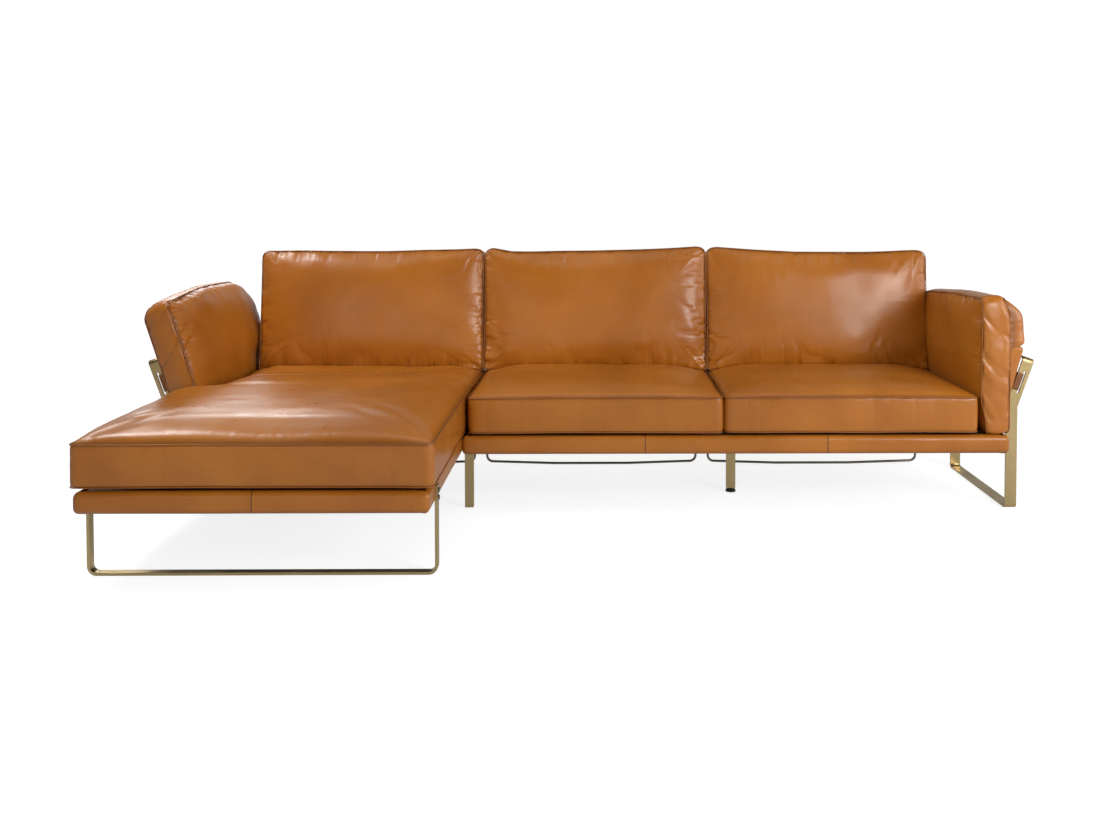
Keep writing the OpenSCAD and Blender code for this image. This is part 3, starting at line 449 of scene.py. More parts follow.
# ---- cushions
class Cushion:
    """A boxed cushion: two panels and a boxing between two piped seams, in its own frame of
    a and b across the panels and c through the thickness, then moved by its matrix."""

    def __init__(self, name, lines, thick, matrix, seed, crown, belly, warp, crease, edge=3.2, roll=0.7, step=0.012,
                 bulge=0.002, boxing_rows=10, wobble=(0.0012, 0.0012, 0.0012), ease=0.02, fold_gain=0.8,
                 fold_cap=0.006, band=0.07, boxing_free=0.35, stops=()):
        self.name, self.thick, self.matrix, self.crease, self.stops = name, thick, matrix, crease, stops
        self.ease, self.fold_gain, self.fold_cap = ease, fold_gain, fold_cap
        low, right, _, left = lines
        nu = max(8, round(path_length(low) / step))
        nv = max(8, round(max(path_length(left), path_length(right)) / step))
        flat = coons(lines, nu, nv)
        s = np.linspace(-1, 1, nu + 1)[None, :]
        t = np.linspace(-1, 1, nv + 1)[:, None]
        rise = lambda q: (1 - np.abs(q) ** edge) ** roll
        field = rise(s) * rise(t)
        crown, belly = (v(flat, s, t) if callable(v) else v * field for v in (crown, belly))
        w, n = nu + 1, (nu + 1) * (nv + 1)
        rim = ([(0, i) for i in range(nu)] + [(j, nu) for j in range(nv)]
               + [(nv, i) for i in range(nu, 0, -1)] + [(j, 0) for j in range(nv, 0, -1)])
        self.rim = rim = np.array([j * w + i for j, i in rim])
        m = len(rim)
        panel = flat.reshape(-1, 2)
        ring = panel[rim]
        self.outward = outward = path_normals(ring, True)
        shares = 0.5 - 0.5 * np.cos(np.linspace(0, math.pi, boxing_rows + 2)[1:-1])
        shares = 0.6 * shares + 0.4 * np.linspace(0, 1, boxing_rows + 2)[1:-1]
        rows = [np.c_[ring + outward * bulge * math.sin(math.pi * h) ** 0.6, np.full(m, h * thick)] for h in shares]
        points = np.vstack([np.dstack([flat, thick + crown]).reshape(-1, 3), np.dstack([flat, -belly]).reshape(-1, 3),
                            *rows])
        for held in (rim, rim + n):
            points[held, :2] -= outward * 0.0015
        for axis, size in enumerate(wobble):
            points[:, axis] += size * wave(points, 0.17, seed * 7 + axis)

        # Each point's distance to its seam and the seam's own point there, which the folds are drawn from
        sparse = ring[::2]
        foot = sparse[np.argmin(np.linalg.norm(panel[:, None] - sparse[None], axis=2), axis=1)]
        away = np.linalg.norm(panel - foot, axis=1)
        self.edge = np.r_[away, away, np.repeat([min(h, 1 - h) * thick for h in shares], m)]
        self.foot = np.vstack([foot, foot, np.tile(ring, (boxing_rows, 1))])
        points = warp(points)

        faces = []
        for a in (j * w + i for j in range(nv) for i in range(nu)):
            faces += [(a, a + 1, a + w + 1, a + w), (n + a, n + a + w, n + a + w + 1, n + a + 1)]
        levels = [rim + n] + [2 * n + r * m + np.arange(m) for r in range(boxing_rows)] + [rim]
        for lower, upper in zip(levels, levels[1:]):
            faces += np.c_[lower, np.roll(lower, -1), np.roll(upper, -1), upper].tolist()
        if np.linalg.det(np.array(matrix)[:3, :3]) < 0:
            faces = [f[::-1] for f in faces]
        self.n, self.m, self.levels, self.faces = n, m, levels, faces
        self.start = self.points = moved(points, matrix)

        # How loose each point's leather is, most in a band beside the seams, and how far it may move
        self.edge_distance = np.min(np.linalg.norm(panel[:, None] - ring[None], axis=2), axis=1)
        slack = np.round(np.exp(-(self.edge_distance / band) ** 2) * 10) / 10
        bands = [(float(value), np.nonzero(slack == value)[0]) for value in np.unique(slack)]
        self.loose = [(value, np.r_[at, at + n].tolist()) for value, at in bands]
        self.loose.append((0.5, list(range(2 * n, len(points)))))
        self.free = np.ones(len(points))
        self.free[2 * n:] = boxing_free
        self.free[rim] = self.free[rim + n] = 0

    def seams(self):
        """The two piped seams' lines, set out a little from the mesh."""
        out = np.c_[self.outward, np.zeros(self.m)] @ np.array(self.matrix)[:3, :3].T
        return [self.points[held] + out * 0.0014 for held in (self.rim, self.rim + self.n)]

    def settle(self, puffed):
        """Keeps the folds of the puffed shape, and holds its swelling within the cushion's own space."""
        links = neighbours(self.faces, len(self.points))
        delta = puffed - self.start
        low = soften(delta, links, 60)
        high = delta - low
        for part, cap in ((low, 0.004), (high, self.fold_cap)):
            size = np.linalg.norm(part, axis=1)[:, None]
            part *= cap * np.tanh(size / cap) / np.maximum(size, 1e-9)
        self.points = self.start + (low + high * self.fold_gain) * self.free[:, None]
        self.obj.data.vertices.foreach_set("co", self.points.ravel())
        self.obj.data.update()


def neighbours(faces, count):
    """The edges of a mesh of quads as two arrays, both ways, and each point's number of edges."""
    quads = np.array(faces)
    pairs = np.unique(np.sort(np.c_[quads.ravel(), np.roll(quads, -1, 1).ravel()], axis=1), axis=0)
    a, b = np.r_[pairs[:, 0], pairs[:, 1]], np.r_[pairs[:, 1], pairs[:, 0]]
    return a, b, np.bincount(a, minlength=count)


def soften(values, links, rounds):
    a, b, degree = links
    for _ in range(rounds):
        total = np.stack([np.bincount(a, values[b, k], len(degree)) for k in range(3)], 1)
        values = 0.5 * values + 0.5 * total / degree[:, None]
    return values


def simulate(cushions, frames=16):
    """Fills the cushions by Blender's cloth, with their seams held, and keeps the folds that this makes."""
    for c in cushions:
        o = c.obj
        o.vertex_groups.new(name="pin").add(np.r_[c.rim, c.rim + c.n].tolist(), 1.0, "REPLACE")
        loose = o.vertex_groups.new(name="loose")
        for weight, members in c.loose:
            loose.add(members, weight, "REPLACE")
        cloth = o.modifiers.new("cloth", "CLOTH")
        s = cloth.settings
        s.quality, s.mass, s.air_damping = 5, 0.4, 4
        s.tension_stiffness = s.compression_stiffness = 22
        s.shear_stiffness, s.bending_stiffness = 9, 6.0
        s.use_pressure, s.uniform_pressure_force = True, 3.5
        s.vertex_group_mass = "pin"
        s.vertex_group_shrink = "loose"
        s.shrink_min, s.shrink_max = 0.0, -c.ease
        s.effector_weights.gravity = 0
        cloth.collision_settings.use_collision = False
        cloth.point_cache.frame_end = frames
    for n in range(1, frames + 1):
        scene.frame_set(n)
    dg = bpy.context.evaluated_depsgraph_get()
    puffed = []
    for c in cushions:
        mesh = c.obj.evaluated_get(dg).data
        co = np.empty(len(mesh.vertices) * 3)
        mesh.vertices.foreach_get("co", co)
        puffed.append(co.reshape(-1, 3))
    for c, co in zip(cushions, puffed):
        c.obj.modifiers.clear()
        c.obj.vertex_groups.clear()
        c.settle(co)
    scene.frame_set(1)


def folds(foot, edge, size, seed):
    """Folds that run away from a seam: soft swellings between sharp valleys, longer and shorter ones mixed."""
    slant = np.stack([wave(foot, 0.21, seed + k) for k in range(3)], 1) * 0.55
    valley = np.abs(wave(foot + edge[:, None] * slant, size, seed + 5))
    reach = size * (0.5 + 1.3 * (0.5 + 0.5 * wave(foot, size * 2.4, seed + 9)))
    start = np.clip(edge / (size * 0.22), 0, 1)
    return (np.minimum(valley * 2.2, 1) - 0.62) * start * np.exp(-(edge / reach) ** 1.6)


def corner_fans(flat, corners, seed):
    """Folds that fan out from the corners of a panel."""
    total, count, reach = np.zeros(len(flat)), 3.2, 0.12
    for n, (x, y, turn) in enumerate(corners):
        dx, dy = flat[:, 0] - x, flat[:, 1] - y
        r, angle = np.hypot(dx, dy), np.arctan2(dy, dx) - turn
        ray = np.abs(np.sin(angle * count + 1.7 * wave(np.c_[dx, dy, 0 * dx], 0.09, seed + n)))
        total += (np.minimum(ray * 1.8, 1) - 0.6) * np.clip(r / 0.03, 0, 1) * np.exp(-(r / reach) ** 1.5)
    return total


def vertex_floats(data, name, values=None):
    if values is not None:
        data.attributes.new(name, "FLOAT", "POINT").data.foreach_set("value", np.asarray(values, np.float32))
        return values
    found = np.empty(len(data.vertices), np.float32)
    data.attributes[name].data.foreach_get("value", found)
    return found.astype(float)


def close_cushion(c, body, replaced, piped=True):
    """The fine mesh with its folds, the painted shade near the seams and the piping; the nodes it replaces are hidden
    and it joins its body.
    """
    o, rows = c.obj, len(c.levels) - 1
    # Painted shade beside the piped seams: panels darken within a few mm of the rim, and the boxing darkens near each
    # piping
    seam = np.zeros(len(c.start))
    seam[:2 * c.n] = np.tile(np.exp(-(c.edge_distance / 0.005) ** 2), 2)
    for r, level in enumerate(c.levels[1:-1]):
        h = min(r + 1, rows - 1 - r) / rows * c.thick
        seam[level] = math.exp(-(h / 0.008) ** 2)
    zone = np.repeat([1.0, -1.0, 0.0], [c.n, c.n, len(c.start) - 2 * c.n])
    passing = {"edge": c.edge, "foot_a": c.foot[:, 0], "foot_b": c.foot[:, 1], "zone": zone}
    for name, values in {"seam": seam * 0.6, **passing}.items():
        vertex_floats(o.data, name, values)
    if piped:
        tube(c.name + "_piping", c.seams(), 0.0021, mats["piping"], body)
    subdivide(o)
    fine = bpy.data.meshes.new_from_object(o.evaluated_get(bpy.context.evaluated_depsgraph_get()))
    o.modifiers.clear()
    o.data = fine
    co, normals = np.empty((2, len(fine.vertices) * 3))
    fine.vertices.foreach_get("co", co)
    fine.vertex_normals.foreach_get("vector", normals)
    co, normals = co.reshape(-1, 3), normals.reshape(-1, 3)
    edge, foot_a, foot_b, zone = (vertex_floats(fine, name) for name in passing)
    m = np.array(c.matrix)
    lift = c.crease((co - m[:3, 3]) @ m[:3, :3], edge, np.c_[foot_a, foot_b, zone * 0.4], zone)
    co += normals * (lift * np.clip(edge / 0.004, 0, 1))[:, None]
    local = (co - m[:3, 3]) @ m[:3, :3]
    for axis, least in c.stops:
        local[:, axis] = np.maximum(local[:, axis], least)
    fine.vertices.foreach_set("co", moved(local, m).ravel())
    for name in passing:
        fine.attributes.remove(fine.attributes[name])
    fine.shade_smooth()
    fine.update()
    subdivide(o)
    soft(o, body, replaced)


def under_back(offset_y):
    """Presses a seat's points down where a back cushion stands on it."""
    def warp(points):
        y = points[:, 1] + offset_y
        limit = BACK_BOTTOM + (BACK_Y - y) * math.tan(BACK_LEAN) - PIPING_Z - 0.002
        points[:, 2] -= np.maximum(points[:, 2] - limit, 0) * smoothstep((y - 0.435) / 0.055)
        return points
    return warp


def seat_crease(seed):
    def crease(local, edge, foot, zone):
        top, side = zone > 0.5, np.abs(zone) < 0.5
        lift = 0.0013 * folds(foot, edge, 0.044, seed) * (zone > 0)
        lift += top * (0.0028 * wave(local * (0.6, 1, 1), 0.14, seed + 21)
                       + 0.0009 * wave(local * (0.35, 1, 1), 0.050, seed + 22)) * smoothstep(edge / 0.04)
        lift += side * (0.0014 * folds(foot, edge, 0.050, seed + 31) + 0.0016 * wave(local, 0.09, seed + 32))
        return lift
    return crease


def seat(name, lines, place, seed, fold_seed, **shape):
    return Cushion(name, lines, BOXING_H, Matrix.Translation(place), seed, belly=0.012, edge=4.4,
                   warp=under_back(place[1]), crease=seat_crease(fold_seed), **shape)


def sofa_seat(name, x, seed):
    lines = rounded_box(0, 0, SEAT_W, SEAT_Y1 - FRONT_Y, [0.026] * 4, [0.005] * 4)
    return seat(name, lines, (x, FRONT_Y, PIPING_Z), seed, seed * 40, crown=0.042, roll=0.56)


def chaise_seat():
    path = [(CHAISE_X0, CHAISE_Y), (CHAISE_SEAT_X1, CHAISE_Y), (CHAISE_SEAT_X1, SEAT_Y1),
            (CHAISE_SEAT_X0, SEAT_Y1), (CHAISE_SEAT_X0, NOTCH_Y), (CHAISE_X0, NOTCH_Y)]

    def crown(flat, s, t):
        height = 0.038 + 0.018 * smoothstep((0.24 - flat[:, :, 1]) / 0.28)
        return height * (1 - np.abs(s) ** 9) ** 0.5 * (1 - np.abs(t) ** 11) ** 0.5

    return seat("chaise_seat", rounded(path, [0.026] * 6, [0.005] * 6, (0, 1, 2, 3)), (0, 0, PIPING_Z), 3, 300,
                crown=crown, roll=0.62, step=0.0135)


def back_cushion(name, n, top_wave, seed):
    x0 = BACK_X0 + (BACK_W + BACK_GAP) * (n + 1)
    w, h = BACK_W, BACK_H
    lines = rounded_box(0, 0, w, h, [0.014, 0.014, 0.030, 0.030], [0.005, 0.002, 0.005, 0.002])
    matrix = (Matrix.Translation((x0, BACK_Y, BACK_BOTTOM + 0.0003))
              @ Matrix.Rotation(math.radians(90) - BACK_LEAN, 4, "X") @ Matrix.Translation((0, 0, 0.007)))
    at, lift = zip(*top_wave)

    def warp(points):
        t = points[:, 0] / w
        points[:, 1] += np.interp(t, at, lift) * MM * smoothstep((points[:, 1] / h - 0.6) / 0.4)
        return points

    def crease(local, edge, foot, zone):
        face, side = (zone > 0.5) * 1.0, np.abs(zone) < 0.5
        low = smoothstep((0.30 - local[:, 1]) / 0.25)
        rise = 0.0062 * folds(foot, edge, 0.056, seed * 40) + 0.0032 * folds(foot, edge, 0.027, seed * 40 + 50)
        fans = corner_fans(local[:, :2], [(0, 0, 0.8), (w, 0, 2.4), (w, h, -2.4), (0, h, -0.8)], seed)
        broad = 0.0060 * wave(local, 0.26, seed + 70) + 0.0034 * wave(local, 0.12, seed + 71)
        lift = (zone > 0) * rise * (0.8 + 1.0 * low) + face * (0.0075 * fans + broad * smoothstep(edge / 0.05))
        return lift + side * (0.0030 * folds(foot, edge, 0.05, seed * 40 + 90) + 0.0018 * wave(local, 0.09, seed + 72))

    return Cushion(name, lines, BACK_T, matrix, seed, crown=0.048, belly=0.006, warp=warp, crease=crease, roll=0.66,
                   bulge=0.0, wobble=(0.0016, 0.0022, 0.0022), ease=0.045, fold_gain=1.2, fold_cap=0.008, band=0.10,
                   stops=[(2, -0.006)])


def arm_matrix(side):
    if side > 0:
        return Matrix(((0, 0, 1, RIGHT_PIVOT - ARM_T / 2 - ARM_EXTRA), (1, 0, 0, 0), (0, 1, 0, 0), (0, 0, 0, 1)))
    upright = Matrix(((0, 0, -1, ARM_T / 2 + ARM_EXTRA), (1, 0, 0, 0), (0, 1, 0, -HINGE_Z), (0, 0, 0, 1)))
    return Matrix.Translation((LEFT_PIVOT, 0, HINGE_Z)) @ Matrix.Rotation(-RECLINE, 4, "Y") @ upright


def arm_warp(side):
    """Rounds the underside and the outer top corner, and turns the front a little outwards."""
    arm = ARMS[side]

    def warp(points):
        u = points[:, 1] - ARM_Z0
        r, half = 0.020, ARM_W / 2
        inset = np.where(u < r, r - np.sqrt(np.maximum(0, r * r - (r - np.clip(u, 0, r)) ** 2)), 0)
        points[:, 2] = half + (points[:, 2] - half) * (half - inset) / half
        outward = np.clip(points[:, 2] / ARM_W, 0, 1.2)
        low = 1 - smoothstep((points[:, 1] - 0.31) / 0.10)
        points[:, 2] += arm["foot"] * low * (1 - np.clip(outward, 0, 1))
        points[:, 2] -= arm["drop"] * smoothstep((points[:, 1] - arm["top"] + 0.055) / 0.055) * outward ** 2
        points[:, 0] += arm["flare"] * outward * smoothstep((0.03 - points[:, 0]) / 0.09)
        return points
    return warp


def arm_crease(side, seed):
    def crease(local, edge, foot, zone):
        high = smoothstep((local[:, 1] - 0.44) / 0.10)
        puffed = smoothstep((local[:, 1] - CREASE_Z) / 0.02)
        panel = np.where(zone > 0, puffed, high)
        lift = 0.0060 * folds(foot, edge, 0.046, seed * 40) + 0.0034 * folds(foot, edge, 0.024, seed * 40 + 50)
        broad = 0.0040 * wave(local, 0.17, seed + 70) + 0.0026 * wave(local, 0.08, seed + 71)
        front = np.exp(-((local[:, 0] + 0.070) / 0.03) ** 2)
        flat = np.abs(zone) > 0.5
        boxing = ~flat * smoothstep((local[:, 1] - ARM_Z0 - 0.03) / 0.03)
        slanted = foot + np.c_[0 * edge, 0.8 * local[:, 2], 0 * edge]
        lift = lift * np.where(zone > 0, 0.55, 1 + 2.0 * np.exp(-((local[:, 0] + 0.04) / 0.09) ** 2) * (side < 0))
        pucker = 0.0062 * folds(slanted, edge, 0.040, seed * 40 + 90) * (0.4 + 0.9 * front)
        return (np.where(flat, lift * panel, pucker * boxing)
                + broad * smoothstep(edge / 0.03) * np.where(flat, panel, boxing * (0.5 + 0.9 * front)))
    return crease


def arm_case(name, side, seed, thick, outer, inner, **shape):
    lines = rounded(ARMS[side]["path"], [0.016, 0.016, 0.026, 0.052, 0.052, 0.105, 0.024], [0.0] * 7, (0, 1, 3, 6))
    return Cushion(name, lines, thick, arm_matrix(side), seed, outer, inner, arm_warp(side), arm_crease(side, seed),
                   ease=0.04, fold_gain=1.1, band=0.09, **shape)


def arm_cushion(name, side, seed):
    def outer(flat, s, t):
        z = flat[:, :, 1]
        if side > 0:
            field = 0.073 * (1 - np.abs(s) ** 13) ** 0.5 * (1 - np.abs(t) ** 5) ** 0.5
        else:
            field = 0.058 * (1 - s ** 2) ** 0.9 * (1 - np.abs(t) ** 4) ** 0.5
        return field * smoothstep((z - CREASE_Z + 0.003) / 0.014)

    def inner(flat, s, t):
        z = flat[:, :, 1]
        field = (1 - np.abs(s) ** 2.8) ** 0.75 * (1 - np.abs(t) ** 3.2) ** 0.65
        return (0.019 if side > 0 else -0.004) * field * smoothstep((z - 0.40) / 0.12)

    return arm_case(name, side, seed, ARM_W, outer, inner, bulge=0.009, boxing_free=0.8,
                    stops=[(1, ARM_Z0 + 0.0006)])


def left_arm_panel():
    """The inner panel of the reclined arm, full while nothing presses on it."""
    def inner(flat, s, t):
        z = flat[:, :, 1]
        along = np.where(s < 0, (1 - np.abs(s) ** 3) ** 0.7, (1 - np.abs(s) ** 8) ** 0.6)
        return (0.038 + 0.012 * (s + 1)) * along * (1 - np.abs(t) ** 7) ** 0.6 * smoothstep((z - 0.38) / 0.15)

    return arm_case("left_arm_panel", -1, 33, 0.003, 0.0, inner, bulge=0.0, boxing_rows=1, boxing_free=0.0)


def give(names):
    """Soft pieces as meshes of their own, with curves turned into meshes."""
    for name in names:
        for o in list(bpy.context.selected_objects):
            o.select_set(False)
        o = bpy.data.objects[name]
        if o.type == "CURVE":
            o.select_set(True)
            bpy.context.view_layer.objects.active = o
            bpy.ops.object.convert(target="MESH")
        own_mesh(bpy.data.objects[name])


def make_cushions():
    seats = [sofa_seat("middle_seat", SEAT_X0, 11), sofa_seat("right_seat", SEAT_X0 + SEAT_W + SEAT_GAP, 12),
             chaise_seat()]
    backs = [
        back_cushion("chaise_back", -1,
                     [(0, -26), (0.03, -25), (0.2, -23), (0.45, -23), (0.8, -20), (0.95, -16), (1, -18)], 21),
        back_cushion("middle_back", 0,
                     [(0, -22), (0.04, -16), (0.12, -26), (0.5, -21), (0.85, -13), (0.96, -9), (1, -14)], 22),
        back_cushion("right_back", 1,
                     [(0, -16), (0.05, -11), (0.2, -19), (0.4, -27), (0.7, -27), (0.95, -25), (1, -31)], 23),
    ]
    arms = [arm_cushion("left_arm_cushion", -1, 31), arm_cushion("right_arm_cushion", 1, 32), left_arm_panel()]
    for c in seats + backs + arms:
        c.obj = add_mesh(c.name, c.points, c.faces, mats["leather"])
    simulate(seats + backs + arms)
    for c in seats + backs:
        close_cushion(c, "root", [c.name + "_cushion"])
    left, right, panel = arms
    close_cushion(right, "right_arm", ["right_arm_pad"])
    give(["right_arm_cushion", "right_arm_cushion_piping"])
    close_cushion(left, "left_arm", ["left_arm_pad"])
    give(["left_arm_cushion", "left_arm_cushion_piping"])
    close_cushion(panel, "left_arm", [], piped=False)
    give(["left_arm_panel"])
    return seats[2], right


# ---- upholstered bases
def base_rail(name, base, seams, replaced):
    """The leather round a base: one rounded section swept round its sides, with sewn joints and painted shade along
    them.
    """
    h, nose, lip, front = BASE_H, 0.018, 0.034, base[1]
    arc = np.linspace(0, math.pi / 2, 7)
    section = [(lip, 0.006), (lip, 0.0)]
    section += [(nose - nose * math.sin(a), nose - nose * math.cos(a)) for a in arc]
    section += [(0.0, nose + (h - 2 * nose) * t) for t in (0.25, 0.5, 0.75)]
    section += [(nose - nose * math.cos(a), h - nose + nose * math.sin(a)) for a in arc]
    section += [(lip, h), (lip, h - 0.005)]
    loop = rounded_loop(base, 0.010)
    close = np.r_[loop, loop[:1]]
    d = distances(close)
    marks = set(np.linspace(0, d[-1], int(d[-1] / 0.012), endpoint=False))
    for x in seams:
        at = d[np.argmin(np.hypot(close[:-1, 0] - x, close[:-1, 1] - front))]
        marks = {m for m in marks if abs(m - at) > 0.012} | {at + k * 0.0012 for k in range(-9, 10)}
    marks = np.array(sorted(marks))
    ring = points_along(close, d, marks)
    ahead, behind = (points_along(close, d, (marks + step) % d[-1]) for step in (0.004, -0.004))
    inward = -right_of(ahead, behind)
    groove, tint = np.zeros((2, len(marks)))
    for x in seams:
        off = np.where(np.abs(ring[:, 1] - front) < 0.02, ring[:, 0] - x, 9)
        groove += 0.0016 * np.exp(-(off / 0.0016) ** 2) - 0.0006 * np.exp(-((np.abs(off) - 0.005) / 0.003) ** 2)
        # tint is painted shade at each sewn joint, darker where the joint's groove falls in shade
        tint += np.exp(-(off / 0.0022) ** 2)
    points, m, n = [], len(marks), len(section)
    for inset, z in section:
        p = np.c_[ring + inward * inset, np.full(len(ring), BASE_Z + z)]
        ripple = 0.0007 * wave(p, 0.06, 5) + 0.0004 * wave(p, 0.022, 6)
        full = 0.0010 * math.sin(math.pi * z / h)
        p[:, :2] += inward * (groove + ripple - full)[:, None] * (1 if inset < lip else 0)
        points.append(p)
    faces = [(r * m + k, r * m + (k + 1) % m, (r + 1) % n * m + (k + 1) % m, (r + 1) % n * m + k)
             for r in range(n) for k in range(m)]
    o = add_mesh(name, np.vstack(points), faces, mats["leather"])
    # The painted joint shade is passed on as the seam attribute
    vertex_floats(o.data, "seam", np.tile(tint, n) * 0.8)
    soft(o, "root", replaced)


# ---- slings, straps and hidden cloth
def closed_mesh(name, points, faces, mat):
    o = add_mesh(name, points, faces, mat)
    shape = bmesh.new()
    shape.from_mesh(o.data)
    bmesh.ops.recalc_face_normals(shape, faces=shape.faces)
    shape.to_mesh(o.data)
    shape.free()
    return o


def slab(rows, normals, thick, closed=False):
    """A sheet through rows of points, thick across its normals, closed all round."""
    n, m = rows.shape[:2]
    points = np.vstack([(rows + normals * thick / 2).reshape(-1, 3), (rows - normals * thick / 2).reshape(-1, 3)])
    faces, k = [], n * m
    at = lambda i, j: (i % n) * m + j
    for i in range(n if closed else n - 1):
        for j in range(m - 1):
            quad = (at(i, j), at(i + 1, j), at(i + 1, j + 1), at(i, j + 1))
            faces += [quad, tuple(q + k for q in reversed(quad))]
        for j in (0, m - 1):
            faces.append((at(i, j), at(i + 1, j), at(i + 1, j) + k, at(i, j) + k))
    if not closed:
        for i in (0, n - 1):
            faces += [(at(i, j), at(i, j + 1), at(i, j + 1) + k, at(i, j) + k) for j in range(m - 1)]
    return points, faces


def standing(path, zs, closed):
    """The rows of points of a sheet that stands along a path, and their normals."""
    rows = np.dstack(np.broadcast_arrays(path[:, :1], path[:, 1:], zs[None]))
    return rows, np.broadcast_to(np.c_[path_normals(path, closed), np.zeros(len(path))][:, None], rows.shape)


def back_sling(name, x_mid, seed):
    half, r, lap = (LOOP_W - ROD_D) / 2, ROD_D / 2 + 0.0016, 0.030
    turn = [(half + r * math.cos(a), r * math.sin(a)) for a in np.radians(np.linspace(165, -90, 22))]
    right = [(half - lap, -0.0038), (half - lap * 0.75, -0.0038), (half - 0.0125, -0.0035), *turn]
    middle = [(x, -r) for x in np.linspace(half, -half, 72)[1:-1]]
    left = [(-x, y) for x, y in reversed(right)]
    path = np.array(right + middle + left)
    zs = np.linspace(*SLING_Z, 36)
    rows, normals = standing(path, zs, False)
    flat = np.abs(path[:, 0]) < half - 0.04
    ripple = wave(rows.reshape(-1, 3), 0.13, seed).reshape(rows.shape[:2]) * 0.0012
    rows[:, :, 1] += ripple * flat[:, None] * np.sin(np.pi * (zs - zs[0]) / (zs[-1] - zs[0]))
    matrix = Matrix.Translation((x_mid, LOOP_Y, KINK_Z)) @ Matrix.Rotation(-BACK_LEAN, 4, "X")
    points, faces = slab(rows, normals, 0.0024)
    o = closed_mesh(name + "_sling", moved(points, matrix), faces, mats["sling"])
    sheet(o, name + "_sling")
    stitches = []
    for x in (half - 0.022, -half + 0.022):
        for z in np.arange(zs[0] + 0.006, zs[-1] - 0.008, 0.0085):
            line = np.array([(x, -0.0024, z), (x, -0.0022, z + 0.003), (x, -0.0024, z + 0.006)])
            stitches.append(moved(line, matrix))
    tube(name + "_sling_stitches", stitches, 0.00045, mats["leather"], "root", closed=False)


def bar_straps(side):
    """Two leather wraps round the folded bar, one beside each slot."""
    t, gap, name = 0.0022, 0.0003, "right" if side > 0 else "left"
    matrix = (Matrix.Translation((SIDE_X1 if side > 0 else SIDE_X0, UPRIGHT_Y0, FOLD_Z))
              @ Matrix.Rotation(side * FOLD_LEAN, 4, "Y") @ Matrix.Diagonal((side, 1, 1, 1)))
    points, faces, total = [], [], 0
    for y in (0, UPRIGHT_Y1 - UPRIGHT_Y0 - BAR_T):
        box = (-gap - t / 2, y - gap - t / 2, STRAP_LAND + gap + t / 2, y + BAR_T + gap + t / 2)
        path = rounded_loop(box, 0.0022, -0.0003, 0.002)
        made, sides = slab(*standing(path, np.linspace(*STRAP_Z, 14), True), t, True)
        faces += [tuple(k + sum(map(len, points)) for k in f) for f in sides]
        points.append(moved(made, matrix))
        total += path_length(path, True)
    o = closed_mesh(name + "_bar_wraps", np.vstack(points), faces, mats["sling"])
    sheet(o,
          name + "_bar_straps")


def cloth(name, node, patches, thick, mat, slot, flat, held, support):
    """Flat cloth as one closed mesh. A patch is its box in x and y, its cells, its height at x and y, and holes."""
    points, faces = [], []
    for (x0, y0, x1, y1), (sx, sy), height, holes in patches:
        nx, ny = max(1, round((x1 - x0) / sx)), max(1, round((y1 - y0) / sy))
        xs, ys = np.linspace(x0, x1, nx + 1), np.linspace(y0, y1, ny + 1)
        gx, gy = np.meshgrid(xs, ys)
        z = height(gx, gy)
        base, k = len(points), (nx + 1) * (ny + 1)
        for lift in (thick / 2, -thick / 2):
            points += list(np.dstack([gx, gy, z + lift]).reshape(-1, 3))
        borders = {}
        for j in range(ny):
            for i in range(nx):
                if any(xs[i + 1] > a and xs[i] < c and ys[j + 1] > b and ys[j] < d for a, b, c, d in holes):
                    continue
                q = base + j * (nx + 1) + i
                quad = (q, q + 1, q + nx + 2, q + nx + 1)
                faces += [quad, tuple(v + k for v in reversed(quad))]
                for pair in zip(quad, quad[1:] + quad[:1]):
                    if not borders.pop(pair[::-1], False):
                        borders[pair] = True
        faces += [(b, a, a + k, b + k) for a, b in borders]
    used = sorted({v for f in faces for v in f})
    index = {v: n for n, v in enumerate(used)}
    o = closed_mesh(name, [points[v] for v in used], [tuple(index[v] for v in f) for f in faces], mat)
    sheet(o, node)


